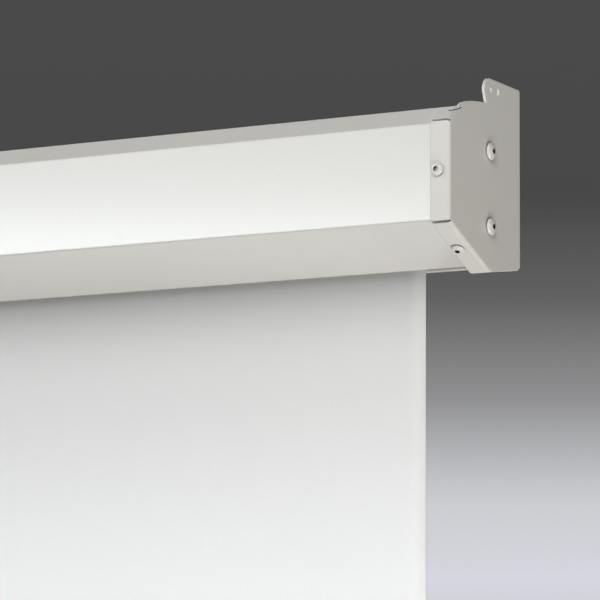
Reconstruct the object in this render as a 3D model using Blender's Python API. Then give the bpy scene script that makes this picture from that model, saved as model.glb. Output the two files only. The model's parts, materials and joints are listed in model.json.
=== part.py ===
"""Motorized projection screen for a wall: a folded steel case between two bent end caps, with a
motor-driven roller inside that lowers a white fabric with a weighted batten in its hem.

Section coordinates: u is the depth from the case's front towards the wall, v is the height above
the lower front corner of the end caps. World: X along the case, +Y into the wall, +Z up. The
origin is on the wall, halfway between the two wall screws that carry the screen. An inset is a
distance inwards from the outer face of an end cap.
"""

import math

import bmesh
import bpy
from mathutils import Matrix, Vector

# Clearances
CLEARANCE = 0.0003
CASE_END_GAP = 0.0005
SCREW_HOLE_CLEARANCE = 0.0004

# Fabric and batten
FABRIC_WIDTH = 1.524
PICTURE_HEIGHT = 1.524
FABRIC_THICKNESS = 0.0005
FABRIC_BEHIND_LIP = 0.0095
SAFETY_WRAPS = 2
BATTEN_RADIUS = 0.00635
BATTEN_WALL = 0.001
HEM_WELD_HEIGHT = 0.012
HEM_SIDE_INSET = 0.001
BATTEN_CAP_RIM = 0.004
BATTEN_CAP_CROWN = 0.002
BATTEN_CAP_BEVEL = 0.0028
BATTEN_CAP_PLUG = 0.015

# End caps
END_MARGIN = 0.058
CAP_SHEET = 0.002
CAP_BEND_INNER = 0.0008
CAP_DEPTH = 0.114
CAP_FRONT_HEIGHT = 0.075
LOWER_FACE_ANGLE = math.radians(26.2)
LOWER_FACE_LENGTH = 0.0695
CHAMFER_ANGLE = math.radians(48.0)
CHAMFER_FLANGE_LENGTH = 0.016
CHAMFER_END_SLANT = 0.9
CAP_BOTTOM_RISE = math.radians(8.2)
CAP_BOTTOM_CORNER = 0.009
FLANGE_WIDTH = 0.0159
FLANGE_CORNER = 0.0015
REAR_FLANGE_WIDTH = 0.018
REAR_FLANGE_CORNER = 0.004
FRONT_FLANGE_LOWER_GAP = 0.0006
FRONT_FLANGE_UPPER_GAP = 0.0001
LOWER_FLANGE_GAP = 0.0023
CHAMFER_FLANGE_GAP = 0.0019

# Crown and ear of the end caps: the ear's front is a round whose centre carries the rest
EAR_ROUND = 0.009
EAR_ROUND_DEPTH = 0.0636
EAR_ROUND_RISE = 0.0323
NOTCH_SETBACK = 0.006
NOTCH_DROP = 0.0105
CROWN_PULL_DEPTH = 0.0175
CROWN_PULL_DROP = 0.0024
EAR_TOP_FALL = math.radians(1.8)
EAR_BACK_CORNER = 0.005
EAR_HOLE_RADIUS = 0.0019
EAR_HOLE_SETBACK = 0.0008
EAR_SLOT_SETBACK = 0.0125
EAR_SLOT_LENGTH = 0.0056
SLOT_END_FLAT = 0.00005
WALL_SCREW_DROP = 0.0033
WALL_SCREW_HOLE_RADIUS = 0.00325
WALL_SCREW_INSET = 0.0105

# Curved relief slit at the top of the chamfer bend, measured along and inwards from the chamfer
RELIEF_WIDTH = 0.0008
RELIEF_REACH = 0.0049
RELIEF_START_ALONG = 0.011
RELIEF_BEND_ALONG = 0.0152
RELIEF_BEND_INWARD = 0.0025
RELIEF_END_ALONG = 0.023
RELIEF_END_INWARD = 0.0067

# Case
CASE_SHEET = 0.001
CASE_BEND_INNER = 0.0008
LIP_DEPTH = 0.060
CASE_CHAMFER_WIDTH = 0.0124
TOP_RISE = math.radians(3.0)
LIP_RETURN = 0.008
SLOT_WIDTH = 0.0175
REAR_LIP_DROP = 0.0255

# Screws and nuts
FLANGE_SCREW_HEAD = 0.0100
FLANGE_SCREW_SHANK = 0.0040
FLANGE_SCREW_LENGTH = 0.0095
FLANGE_SCREW_INSET = 0.0099
FRONT_SCREW_HEIGHT = 0.0389
LOWER_SCREW_ALONG = 0.0356
PLATE_SCREW_HEAD = 0.0125
PLATE_SCREW_SHANK = 0.0060
PLATE_SCREW_LENGTH = 0.0130
PLATE_SCREW_SPACING = 0.057
PLATE_SCREW_SETBACK = 0.01545
SMALL_SCREW_HEAD = 0.0065
SMALL_SCREW_SHANK = 0.0030
HEAD_HEIGHT_SHARE = 0.30
HEAD_RIM_SHARE = 0.25
HEAD_CURVE_STEPS = 3
RECESS_SHARE = 0.28
RECESS_DEPTH_SHARE = 0.6
NUT_WALL = 0.0028
NUT_THICKNESS = 0.0036

# Roller and its brackets
ROLLER_HEIGHT = 0.032
ROLLER_WALL = 0.001
ROLLER_OVERHANG = 0.008
CROWN_WALL = 0.0013
PLUG_FLANGE = 0.0037
PLUG_LENGTH = 0.030
BRACKET_SHEET = 0.0025
BRACKET_FRONT_REACH = 0.01125
BRACKET_EDGE = 0.0075
BRACKET_CORNER = 0.006
IDLER_PIN_RADIUS = 0.004
IDLER_PIN_SHOULDER = 0.0015
IDLER_PIN_SHOULDER_RADIUS = 0.007
BEARING_WALL = 0.0034
BEARING_LENGTH = 0.024
BEARING_FLANGE = 0.0015
BEARING_FLANGE_WIDTH = 0.0023

# Tubular motor
MOTOR_TUBE_OUTER = 0.0175
MOTOR_TUBE_WALL = 0.001
MOTOR_TUBE_LENGTH = 0.430
MOTOR_HEAD_SHOULDER = 0.0035
MOTOR_HEAD_CHAMFER = 0.002
MOTOR_HEAD_PLUG = 0.012
MOTOR_NECK_RADIUS = 0.008
MOTOR_CLIP_WIDTH = 0.005
MOTOR_CLIP_THICKNESS = 0.0012
MOTOR_CLIP_MOUTH = 0.010
SWITCH_UNIT_LENGTH = 0.056
CAPACITOR_LENGTH = 0.058
MOTOR_CORE_LENGTH = 0.130
BRAKE_LENGTH = 0.028
GEARBOX_NOSE = 0.008
LIMIT_CROWN_LENGTH = 0.012
OUTPUT_SHAFT_RADIUS = 0.005
SHAFT_SEAT_DEPTH = 0.006
SHAFT_TAIL = 0.003
DRIVE_CROWN_GAP = 0.004
DRIVE_CROWN_LENGTH = 0.025
CROWN_CLIP_WIDTH = 0.003
CROWN_CLIP_THICKNESS = 0.0012
LIMIT_SCREW_RADIUS = 0.0017
LIMIT_SCREW_LENGTH = 0.008
LIMIT_SCREW_PROUD = 0.0006
LIMIT_SCREW_SETBACK = 0.0154
LIMIT_SCREW_SPREAD = math.radians(24.0)

# Junction box and what it holds
BOX_INSET = 0.060
BOX_LENGTH = 0.090
BOX_BOTTOM = 0.008
BOX_HEIGHT = 0.066
BOX_SHEET = 0.0012
BOX_BEHIND_FABRIC = 0.011
BOX_FRAME = 0.009
BOX_LEDGE = 0.0036
BOX_SCREW_SPREAD = 0.030
BOX_SCREW_DROP = 0.008
BOX_SCREW_LENGTH = 0.0030
COVER_SCREW_LENGTH = 0.0060
GROUND_SCREW_LENGTH = 0.006
GROUND_SCREW_SETBACK = 0.070
WIRING_HEIGHT = 0.022
TERMINAL_LENGTH = 0.034
TERMINAL_HEIGHT = 0.016
TERMINAL_FRONT_ROOM = 0.0091
TERMINAL_GROOVE = 0.0015
TERMINAL_WAYS = 4
KNOCKOUT_RADIUS = 0.010
KNOCKOUT_FLANGE = 0.0022
KNOCKOUT_THICKNESS = 0.0010
KNOCKOUT_BODY = 0.0042
KNOCKOUT_SETBACK = 0.021

# Motor cable and its bush
CABLE_RADIUS = 0.003
CABLE_EXIT_ALONG = 0.0182
CABLE_EXIT_DROP = 0.008
CABLE_BEND_PULL = 0.020
CABLE_STEPS = 18
BUSH_RADIUS = 0.006
BUSH_RIM = 0.0018
BUSH_FLANGE = 0.0035
BUSH_TAIL = 0.003

# Facets
FINE = 32
COARSE = 16
SMALL = 12
ARC_STEPS = 4
SHARP_ANGLE = math.radians(35.0)
FULL_TURN = 2.0 * math.pi
SAME_POINT = 1e-6

# Directions of the slanted faces, and the cap's corners
LOWER_ALONG = Vector((math.cos(LOWER_FACE_ANGLE), -math.sin(LOWER_FACE_ANGLE)))
LOWER_INWARD = Vector((math.sin(LOWER_FACE_ANGLE), math.cos(LOWER_FACE_ANGLE)))
CHAMFER_ALONG = Vector((math.cos(CHAMFER_ANGLE), math.sin(CHAMFER_ANGLE)))
CHAMFER_INWARD = Vector((math.sin(CHAMFER_ANGLE), -math.cos(CHAMFER_ANGLE)))
CAP_TOP_FRONT = Vector((0.0, CAP_FRONT_HEIGHT))
CAP_BOTTOM_FRONT = LOWER_ALONG * LOWER_FACE_LENGTH
CAP_BEND_RADIUS = CAP_SHEET + CAP_BEND_INNER
LOWER_MITRE = math.tan((math.pi / 2 - LOWER_FACE_ANGLE) / 2)
UPPER_MITRE = math.tan((math.pi / 2 - CHAMFER_ANGLE) / 2)
EAR_CENTRE = Vector((EAR_ROUND_DEPTH, CAP_FRONT_HEIGHT + EAR_ROUND_RISE))
NOTCH = EAR_CENTRE - Vector((NOTCH_SETBACK, NOTCH_DROP))
HANG_HEIGHT = EAR_CENTRE.y - WALL_SCREW_DROP

# Case section, one clearance inside the caps' flanges
HALF_WIDTH = FABRIC_WIDTH / 2 + END_MARGIN
CASE_HALF = HALF_WIDTH - CAP_SHEET - CASE_END_GAP
CASE_INSET = CAP_SHEET + CLEARANCE
CASE_BEND_RADIUS = CASE_SHEET + CASE_BEND_INNER
CASE_BACK_DEPTH = CAP_DEPTH - CASE_INSET
LIP_HEIGHT = CASE_INSET / math.cos(LOWER_FACE_ANGLE) - LIP_DEPTH * math.tan(LOWER_FACE_ANGLE)
REAR_LIP_DEPTH = LIP_DEPTH + SLOT_WIDTH

# Roller section: the motor sets the tube's size, and the fabric's place sets the axis
PLUG_RADIUS = MOTOR_TUBE_OUTER + CLEARANCE + CROWN_WALL
ROLLER_INNER = PLUG_RADIUS + CLEARANCE
ROLLER_OUTER = ROLLER_INNER + ROLLER_WALL
WRAP_INNER = ROLLER_OUTER + CLEARANCE
WRAP_OUTER = WRAP_INNER + SAFETY_WRAPS * FABRIC_THICKNESS
FABRIC_DEPTH = LIP_DEPTH + FABRIC_BEHIND_LIP
ROLLER_DEPTH = FABRIC_DEPTH - FABRIC_THICKNESS / 2 - CLEARANCE - WRAP_OUTER
PLATE_SCREW_DEPTH = ROLLER_DEPTH + PLATE_SCREW_SETBACK

# Places along the roller's axis, as insets
BRACKET_START = CAP_SHEET + CLEARANCE
BRACKET_FACE = BRACKET_START + BRACKET_SHEET
TUBE_START = END_MARGIN - ROLLER_OVERHANG
CLIP_START = BRACKET_FACE + CLEARANCE
HEAD_START = CLIP_START + MOTOR_CLIP_THICKNESS + CLEARANCE
HEAD_END = TUBE_START - PLUG_FLANGE - 3 * CLEARANCE
MOTOR_TUBE_START = HEAD_END + CLEARANCE
MOTOR_TUBE_END = MOTOR_TUBE_START + MOTOR_TUBE_LENGTH
MOTOR_HEAD_RADIUS = MOTOR_TUBE_OUTER + MOTOR_HEAD_SHOULDER
MOTOR_CORE_RADIUS = MOTOR_TUBE_OUTER - MOTOR_TUBE_WALL - CLEARANCE
GEARBOX_END = MOTOR_TUBE_END + CLEARANCE + GEARBOX_NOSE
DRIVE_CROWN_START = GEARBOX_END + DRIVE_CROWN_GAP
DRIVE_CROWN_END = DRIVE_CROWN_START + DRIVE_CROWN_LENGTH
CROWN_CLIP_END = DRIVE_CROWN_END + CLEARANCE + CROWN_CLIP_THICKNESS
BEARING_START = TUBE_START - PLUG_FLANGE - 2 * CLEARANCE - BEARING_FLANGE
BEARING_BORE = IDLER_PIN_RADIUS + CLEARANCE
BEARING_RADIUS = BEARING_BORE + BEARING_WALL

# Junction box section
BOX_END = BOX_INSET + BOX_LENGTH
BOX_TOP = BOX_BOTTOM + BOX_HEIGHT
BOX_FRONT_DEPTH = FABRIC_DEPTH + BOX_BEHIND_FABRIC
BOX_BACK_DEPTH = CASE_BACK_DEPTH - CASE_SHEET - CLEARANCE
BOX_MIDDLE_DEPTH = (BOX_FRONT_DEPTH + BOX_BACK_DEPTH) / 2
BOX_MIDDLE_HEIGHT = BOX_BOTTOM + BOX_HEIGHT / 2
BOX_SCREW_HEIGHT = BOX_TOP - BOX_SCREW_DROP
BOX_WIRING_HEIGHT = BOX_BOTTOM + WIRING_HEIGHT
COVER_FACE_DEPTH = BOX_FRONT_DEPTH - CLEARANCE - BOX_SHEET
CABLE_END_INSET = BOX_INSET + BOX_SHEET + BUSH_TAIL + CABLE_RADIUS

# Batten section
HEM_INNER = BATTEN_RADIUS + CLEARANCE
HEM_OUTER = HEM_INNER + FABRIC_THICKNESS
FABRIC_BOTTOM = LIP_HEIGHT - PICTURE_HEIGHT
BATTEN_HEIGHT = FABRIC_BOTTOM - CLEARANCE - HEM_WELD_HEIGHT - HEM_OUTER

SIDES = (("right", 1.0), ("left", -1.0))
SIDEWAYS = (1.0, 0.0, 0.0)
BACKWARDS = (0.0, 1.0, 0.0)
FORWARDS = (0.0, -1.0, 0.0)
UPWARDS = (0.0, 0.0, 1.0)


def spot(side, inset, u, v):
    """World point on one side of the screen."""
    return Vector((side * (HALF_WIDTH - inset), u - CAP_DEPTH, v - HANG_HEIGHT))


def clear_scene():
    for old in list(bpy.data.objects):
        bpy.data.objects.remove(old, do_unlink=True)


# Materials


def make_material(name, colour, roughness, metallic):
    made = bpy.data.materials.new(name)
    made.use_nodes = True
    shader = made.node_tree.nodes["Principled BSDF"]
    shader.inputs["Base Color"].default_value = (*colour, 1.0)
    shader.inputs["Roughness"].default_value = roughness
    shader.inputs["Metallic"].default_value = metallic
    made.diffuse_color = (*colour, 1.0)
    return made


def powder_coat():
    return make_material("white_powder_coat", (0.80, 0.79, 0.76), 0.45, 0.0)


def screw_paint():
    return make_material("painted_screw", (0.82, 0.81, 0.78), 0.40, 0.0)


def zinc_plate():
    return make_material("zinc_plate", (0.62, 0.63, 0.64), 0.35, 1.0)


def bright_steel():
    return make_material("bright_steel", (0.55, 0.56, 0.57), 0.30, 1.0)


def cast_aluminium():
    return make_material("cast_aluminium", (0.70, 0.71, 0.72), 0.40, 1.0)


def brass():
    return make_material("brass", (0.75, 0.58, 0.28), 0.35, 1.0)


def screen_white():
    return make_material("matte_white_fabric", (0.86, 0.87, 0.88), 0.90, 0.0)


def white_plastic():
    return make_material("white_plastic", (0.78, 0.78, 0.76), 0.50, 0.0)


def grey_plastic():
    return make_material("grey_plastic", (0.32, 0.33, 0.34), 0.50, 0.0)


def black_plastic():
    return make_material("black_plastic", (0.03, 0.03, 0.03), 0.50, 0.0)


# Shapes


def finish_object(name, bm, material=None, location=(0.0, 0.0, 0.0), facing=None, parent=None):
    """Turns a bmesh into an object; facing is the world direction of its local X."""
    bmesh.ops.recalc_face_normals(bm, faces=bm.faces)
    mesh = bpy.data.meshes.new(name)
    bm.to_mesh(mesh)
    bm.free()
    mesh.shade_smooth()
    mesh.set_sharp_from_angle(angle=SHARP_ANGLE)
    made = bpy.data.objects.new(name, mesh)
    bpy.context.scene.collection.objects.link(made)
    made.location = location
    if facing is not None:
        made.rotation_mode = "QUATERNION"
        made.rotation_quaternion = Vector((1.0, 0.0, 0.0)).rotation_difference(Vector(facing))
    if parent is not None:
        made.parent = parent
    if material is not None:
        mesh.materials.append(material)
    return made


def cut(target, name, bm, location=(0.0, 0.0, 0.0), facing=None):
    """Cuts a shape out of an object; the cutter stays as a hidden guide."""
    tool = finish_object("cut_" + name, bm, location=location, facing=facing)
    tool.hide_render = True
    tool.display_type = "WIRE"
    boolean = target.modifiers.new("cut_" + name, "BOOLEAN")
    boolean.operation = "DIFFERENCE"
    boolean.object = tool


def hole(place, facing, radius, through, segments=COARSE):
    """A round cutter in world coordinates whose axis passes through a place."""
    bm = rod(-through, through, radius, segments)
    turn = Vector((1.0, 0.0, 0.0)).rotation_difference(Vector(facing))
    bm.transform(Matrix.Translation(place) @ turn.to_matrix().to_4x4())
    return bm


def drill(target, holes):
    """Cuts all of a piece's holes in one step."""
    joined = bmesh.new()
    for bm in holes:
        shape = bpy.data.meshes.new("hole")
        bm.to_mesh(shape)
        bm.free()
        joined.from_mesh(shape)
        bpy.data.meshes.remove(shape)
    cut(target, target.name + "_holes", joined)


def turned(profile, segments, ring=False):
    """A body turned about local X from (x, radius) points; a ring closes on its first point."""
    bm = bmesh.new()
    points = [bm.verts.new((x, 0.0, radius)) for x, radius in profile]
    edges = [bm.edges.new(pair) for pair in zip(points, points[1:])]
    if ring:
        edges.append(bm.edges.new((points[-1], points[0])))
    bmesh.ops.spin(
        bm,
        geom=points + edges,
        cent=(0.0, 0.0, 0.0),
        axis=(1.0, 0.0, 0.0),
        angle=FULL_TURN,
        steps=segments,
        use_merge=True,
    )
    bmesh.ops.remove_doubles(bm, verts=bm.verts, dist=SAME_POINT)
    return bm


def rod(start, end, radius, segments):
    return turned([(start, 0.0), (start, radius), (end, radius), (end, 0.0)], segments)


def tube(start, end, inner, outer, segments):
    profile = [(start, inner), (start, outer), (end, outer), (end, inner)]
    return turned(profile, segments, ring=True)


def block(low, high):
    """A rectangular body between two opposite corners."""
    bm = bmesh.new()
    bmesh.ops.create_cube(bm, size=1.0)
    low = Vector(low)
    high = Vector(high)
    bmesh.ops.scale(bm, vec=[abs(edge) for edge in high - low], verts=bm.verts)
    bmesh.ops.translate(bm, vec=(low + high) / 2, verts=bm.verts)
    return bm


def prism(outline, x_start, x_end):
    """A body with the same (u, v) outline from one X to another."""
    bm = bmesh.new()
    face = bm.faces.new([bm.verts.new((x_start, u, v)) for u, v in outline])
    grown = bmesh.ops.extrude_face_region(bm, geom=[face])
    moved = [item for item in grown["geom"] if isinstance(item, bmesh.types.BMVert)]
    bmesh.ops.translate(bm, vec=(x_end - x_start, 0.0, 0.0), verts=moved)
    return bm


def arc(centre, radius, start, end, steps):
    """Points of an arc, both ends included."""
    points = []
    for step in range(steps + 1):
        angle = start + (end - start) * step / steps
        points.append(Vector((centre[0] + radius * math.cos(angle), centre[1] + radius * math.sin(angle))))
    return points


def curve_through(start, pull, end, steps):
    """Points between the two ends of a quadratic curve, the ends left out."""
    points = []
    for step in range(1, steps):
        t = step / steps
        points.append(start * (1 - t) ** 2 + pull * (2 * t * (1 - t)) + end * t**2)
    return points


def rounded_rectangle(u_low, v_low, u_high, v_high, radius):
    corners = [
        ((u_high - radius, v_high - radius), 0.0),
        ((u_low + radius, v_high - radius), math.pi / 2),
        ((u_low + radius, v_low + radius), math.pi),
        ((u_high - radius, v_low + radius), -math.pi / 2),
    ]
    outline = []
    for centre, start in corners:
        outline += arc(centre, radius, start, start + math.pi / 2, ARC_STEPS)
    return outline


def folded_outline(path, thickness, radius):
    """Section of a sheet folded along a path that always turns clockwise, its outer side on the left."""
    directions = [(b - a).normalized() for a, b in zip(path, path[1:])]
    outward = [Vector((-d.y, d.x)) for d in directions]
    outer = [path[0]]
    inner = [path[0] - outward[0] * thickness]
    for index in range(1, len(path) - 1):
        before = directions[index - 1]
        turn = before.angle(directions[index])
        tangent = radius * math.tan(turn / 2)
        centre = path[index] - before * tangent - outward[index - 1] * radius
        start = math.atan2(outward[index - 1].y, outward[index - 1].x)
        outer += arc(centre, radius, start, start - turn, ARC_STEPS)
        inner += arc(centre, radius - thickness, start, start - turn, ARC_STEPS)
    outer.append(path[-1])
    inner.append(path[-1] - outward[-1] * thickness)
    return outer + inner[::-1]


def axis_empty(name, u, v):
    """An empty on a moving group's axis."""
    holder = bpy.data.objects.new(name, None)
    bpy.context.scene.collection.objects.link(holder)
    holder.location = (0.0, u - CAP_DEPTH, v - HANG_HEIGHT)
    return holder


def on_axis(name, bm, side, material, parent=None):
    """Places a turned piece on the roller's axis, its X counted inwards from one end cap."""
    start = spot(side, 0.0, ROLLER_DEPTH, ROLLER_HEIGHT)
    if parent is not None:
        start = start - parent.location
    return finish_object(name, bm, material, start, (-side, 0.0, 0.0), parent)


# End caps


class CapFlange:
    """One bent edge of an end cap: where its bend runs and where it ends.

    start and end give the flange's two limits along the bend for a depth inside the outer skin.
    """

    def __init__(self, origin, along, inward, start, end, width, corner):
        self.origin = origin
        self.along = along
        self.inward = inward
        self.start = start
        self.end = end
        self.width = width
        self.corner = corner

    def point(self, distance, depth):
        """Section point at a distance along the bend and a depth inside the outer skin."""
        return self.origin + self.inward * depth + self.along * distance

    def base(self):
        """The two ends of the bend's base line on the flat plate."""
        depth = CAP_BEND_RADIUS
        return self.point(self.start(depth), depth), self.point(self.end(depth), depth)

    def skin(self, offset):
        """Bend rows and the flat flange's border, as (inset, point), for one skin of the sheet."""
        radius = CAP_BEND_RADIUS - offset
        rows = []
        for step in range(1, ARC_STEPS + 1):
            angle = math.pi / 2 * step / ARC_STEPS
            depth = CAP_BEND_RADIUS - radius * math.sin(angle)
            inset = offset + radius * (1.0 - math.cos(angle))
            rows.append([(inset, self.point(end(depth), depth)) for end in (self.start, self.end)])
        border = []
        for angle in self.corner_angles():
            along = self.start(offset) + self.corner * (1.0 - math.cos(angle))
            border.append((self.corner_inset(angle), self.point(along, offset)))
        for angle in reversed(self.corner_angles()):
            along = self.end(offset) - self.corner * (1.0 - math.cos(angle))
            border.append((self.corner_inset(angle), self.point(along, offset)))
        return rows, border

    def corner_angles(self):
        return [math.pi / 2 * step / ARC_STEPS for step in range(ARC_STEPS + 1)]

    def corner_inset(self, angle):
        return self.width - self.corner * (1.0 - math.sin(angle))


def bottom_corner_centre():
    """Centre of the rounded corner at the cap's bottom and back."""
    u = CAP_DEPTH - CAP_BOTTOM_CORNER
    edge = CAP_BOTTOM_FRONT.y + (u - CAP_BOTTOM_FRONT.x) * math.tan(CAP_BOTTOM_RISE)
    return Vector((u, edge + CAP_BOTTOM_CORNER / math.cos(CAP_BOTTOM_RISE)))


def ear_corner_centre():
    """Centre of the rounded corner at the ear's top and back."""
    u = CAP_DEPTH - EAR_BACK_CORNER
    top = EAR_CENTRE.y + EAR_ROUND / math.cos(EAR_TOP_FALL)
    edge = top - (u - EAR_CENTRE.x) * math.tan(EAR_TOP_FALL)
    return Vector((u, edge - EAR_BACK_CORNER / math.cos(EAR_TOP_FALL)))


def front_flange():
    return CapFlange(
        Vector((0.0, 0.0)),
        Vector((0.0, 1.0)),
        Vector((1.0, 0.0)),
        lambda depth: LOWER_MITRE * depth + FRONT_FLANGE_LOWER_GAP,
        lambda depth: CAP_FRONT_HEIGHT - UPPER_MITRE * depth - FRONT_FLANGE_UPPER_GAP,
        FLANGE_WIDTH,
        FLANGE_CORNER,
    )


def lower_flange():
    slant = 1.0 / math.tan(LOWER_FACE_ANGLE + CAP_BOTTOM_RISE)
    return CapFlange(
        Vector((0.0, 0.0)),
        LOWER_ALONG,
        LOWER_INWARD,
        lambda depth: LOWER_MITRE * depth + LOWER_FLANGE_GAP,
        lambda depth: LOWER_FACE_LENGTH + slant * depth,
        FLANGE_WIDTH,
        FLANGE_CORNER,
    )


def chamfer_flange():
    return CapFlange(
        CAP_TOP_FRONT,
        CHAMFER_ALONG,
        CHAMFER_INWARD,
        lambda depth: UPPER_MITRE * depth + CHAMFER_FLANGE_GAP,
        lambda depth: CHAMFER_FLANGE_LENGTH + CHAMFER_END_SLANT * depth,
        FLANGE_WIDTH,
        FLANGE_CORNER,
    )


def rear_flange():
    """The flange against the wall; its bend ends on the rounded corners above and below it."""
    low = bottom_corner_centre().y
    high = ear_corner_centre().y
    return CapFlange(
        Vector((CAP_DEPTH, 0.0)),
        Vector((0.0, 1.0)),
        Vector((-1.0, 0.0)),
        lambda depth: low - math.sqrt(CAP_BOTTOM_CORNER**2 - (CAP_BOTTOM_CORNER - depth) ** 2),
        lambda depth: high + math.sqrt(EAR_BACK_CORNER**2 - (EAR_BACK_CORNER - depth) ** 2),
        REAR_FLANGE_WIDTH,
        REAR_FLANGE_CORNER,
    )


def bottom_edge():
    """The plate's free edge round the bottom corner, from the lower flange to the rear flange."""
    meet = -math.acos((CAP_BOTTOM_CORNER - CAP_BEND_RADIUS) / CAP_BOTTOM_CORNER)
    tangent = CAP_BOTTOM_RISE - math.pi / 2
    return arc(bottom_corner_centre(), CAP_BOTTOM_CORNER, tangent, meet, ARC_STEPS)[:-1]


def ear_edge(crown_end):
    """The plate's free edge from the rear flange over the ear and the crown to the chamfer flange."""
    ear_top = math.pi / 2 - EAR_TOP_FALL
    meet = math.acos((EAR_BACK_CORNER - CAP_BEND_RADIUS) / EAR_BACK_CORNER)
    back_corner = arc(ear_corner_centre(), EAR_BACK_CORNER, meet, ear_top, ARC_STEPS)[1:]
    reach = NOTCH - EAR_CENTRE
    leave = math.atan2(reach.y, reach.x) % FULL_TURN - math.acos(EAR_ROUND / reach.length)
    ear_round = arc(EAR_CENTRE, EAR_ROUND, ear_top, leave, 3 * ARC_STEPS)
    pull = Vector((CROWN_PULL_DEPTH, NOTCH.y - CROWN_PULL_DROP))
    crown = curve_through(NOTCH, pull, crown_end, 2 * ARC_STEPS)
    return back_corner + ear_round + [NOTCH] + crown


def cap_plate_outline(front, lower, rear, chamfer):
    """Border of the flat plate, through the ends of each bend's base line."""
    front_low, front_high = front.base()
    rear_low, rear_high = rear.base()
    chamfer_start, chamfer_end = chamfer.base()
    low_corner = Vector((CAP_BEND_RADIUS, CAP_BEND_RADIUS * LOWER_MITRE))
    high_corner = Vector((CAP_BEND_RADIUS, CAP_FRONT_HEIGHT - CAP_BEND_RADIUS * UPPER_MITRE))
    outline = [front_high, front_low, low_corner, *lower.base(), *bottom_edge()]
    outline += [rear_low, rear_high, *ear_edge(chamfer_end), chamfer_end, chamfer_start, high_corner]
    return outline


def cap_skin(bm, side, flanges, outline, offset):
    """One skin of the bent sheet; gives back its free border."""

    def vert(inset, point):
        return bm.verts.new((-side * inset, point.x, point.y))

    ring = [vert(offset, point) for point in outline]
    bm.faces.new(ring)
    border = list(ring)
    for flange in flanges:
        first, second = [outline.index(point) for point in flange.base()]
        rows, edge = flange.skin(offset)
        start_side = [ring[first]]
        end_side = [ring[second]]
        for row in rows:
            near, far = [vert(inset, point) for inset, point in row]
            bm.faces.new([start_side[-1], end_side[-1], far, near])
            start_side.append(near)
            end_side.append(far)
        free = [vert(inset, point) for inset, point in edge]
        bm.faces.new([start_side[-1], *free, end_side[-1]])
        around = start_side + free + end_side[::-1]
        place = border.index(ring[first])
        if second == (first + 1) % len(outline):
            border[place : place + 2] = around
        else:
            border[place - 1 : place + 1] = around[::-1]
    return border


def cap_mesh(side):
    """The bent sheet of an end cap: outer skin, inner skin and the rim between them."""
    flanges = (front_flange(), lower_flange(), rear_flange(), chamfer_flange())
    outline = cap_plate_outline(*flanges)
    bm = bmesh.new()
    outer = cap_skin(bm, side, flanges, outline, 0.0)
    inner = cap_skin(bm, side, flanges, outline, CAP_SHEET)
    for index in range(len(outer)):
        after = (index + 1) % len(outer)
        bm.faces.new([outer[index], outer[after], inner[after], inner[index]])
    return bm


def relief_outline():
    """Outline of the curved slit that frees the top of the chamfer bend from the plate."""
    start = CAP_TOP_FRONT + CHAMFER_ALONG * RELIEF_START_ALONG
    pull = CAP_TOP_FRONT + CHAMFER_ALONG * RELIEF_BEND_ALONG + CHAMFER_INWARD * RELIEF_BEND_INWARD
    end = CAP_TOP_FRONT + CHAMFER_ALONG * RELIEF_END_ALONG + CHAMFER_INWARD * RELIEF_END_INWARD
    middle = [start, *curve_through(start, pull, end, 2 * ARC_STEPS), end]
    upper = []
    lower = []
    for index, point in enumerate(middle):
        before = middle[max(index - 1, 0)]
        after = middle[min(index + 1, len(middle) - 1)]
        slope = (after - before).normalized()
        normal = Vector((-slope.y, slope.x)) * RELIEF_WIDTH / 2
        upper.append(point + normal)
        lower.append(point - normal)
    outside = Vector((-2 * CAP_SHEET, 0.0))
    return [upper[0] + outside, *upper, *lower[::-1], lower[0] + outside]


def flange_spots():
    """Where each flange screw sits: name, section point on the cap's skin and outward direction."""
    return [
        ("front", Vector((0.0, FRONT_SCREW_HEIGHT)), Vector((-1.0, 0.0))),
        ("lower", LOWER_ALONG * LOWER_SCREW_ALONG, -LOWER_INWARD),
    ]


def plate_spots():
    """Where the screws through the end cap's plate sit, above and below the roller's axis."""
    half = PLATE_SCREW_SPACING / 2
    return [("upper", ROLLER_HEIGHT + half), ("bottom", ROLLER_HEIGHT - half)]


def make_end_cap(label, side, material):
    origin = spot(side, 0.0, 0.0, 0.0)
    cap = finish_object(label + "_end_cap", cap_mesh(side), material, origin)
    relief = prism(relief_outline(), side * CAP_SHEET, -side * RELIEF_REACH)
    cut(cap, label + "_relief", relief, origin)
    through = 2 * CAP_SHEET
    radius = FLANGE_SCREW_SHANK / 2 + SCREW_HOLE_CLEARANCE
    holes = []
    for name, point, outward in flange_spots():
        place = spot(side, FLANGE_SCREW_INSET, point.x, point.y)
        holes.append(hole(place, (0.0, outward.x, outward.y), radius, through))
    radius = PLATE_SCREW_SHANK / 2 + SCREW_HOLE_CLEARANCE
    for name, height in plate_spots():
        place = spot(side, 0.0, PLATE_SCREW_DEPTH, height)
        holes.append(hole(place, SIDEWAYS, radius, through))
    place = spot(side, 0.0, EAR_CENTRE.x + EAR_HOLE_SETBACK, EAR_CENTRE.y)
    holes.append(hole(place, SIDEWAYS, EAR_HOLE_RADIUS, through))
    place = spot(side, WALL_SCREW_INSET, CAP_DEPTH, HANG_HEIGHT)
    holes.append(hole(place, BACKWARDS, WALL_SCREW_HOLE_RADIUS, through))
    drill(cap, holes)
    half = EAR_SLOT_LENGTH / 2
    corner = EAR_HOLE_RADIUS - SLOT_END_FLAT
    slot = rounded_rectangle(-EAR_HOLE_RADIUS, -half, EAR_HOLE_RADIUS, half, corner)
    place = spot(side, 0.0, EAR_CENTRE.x + EAR_SLOT_SETBACK, EAR_CENTRE.y)
    cut(cap, label + "_ear_slot", prism(slot, -through, through), place)


# Case


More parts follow.
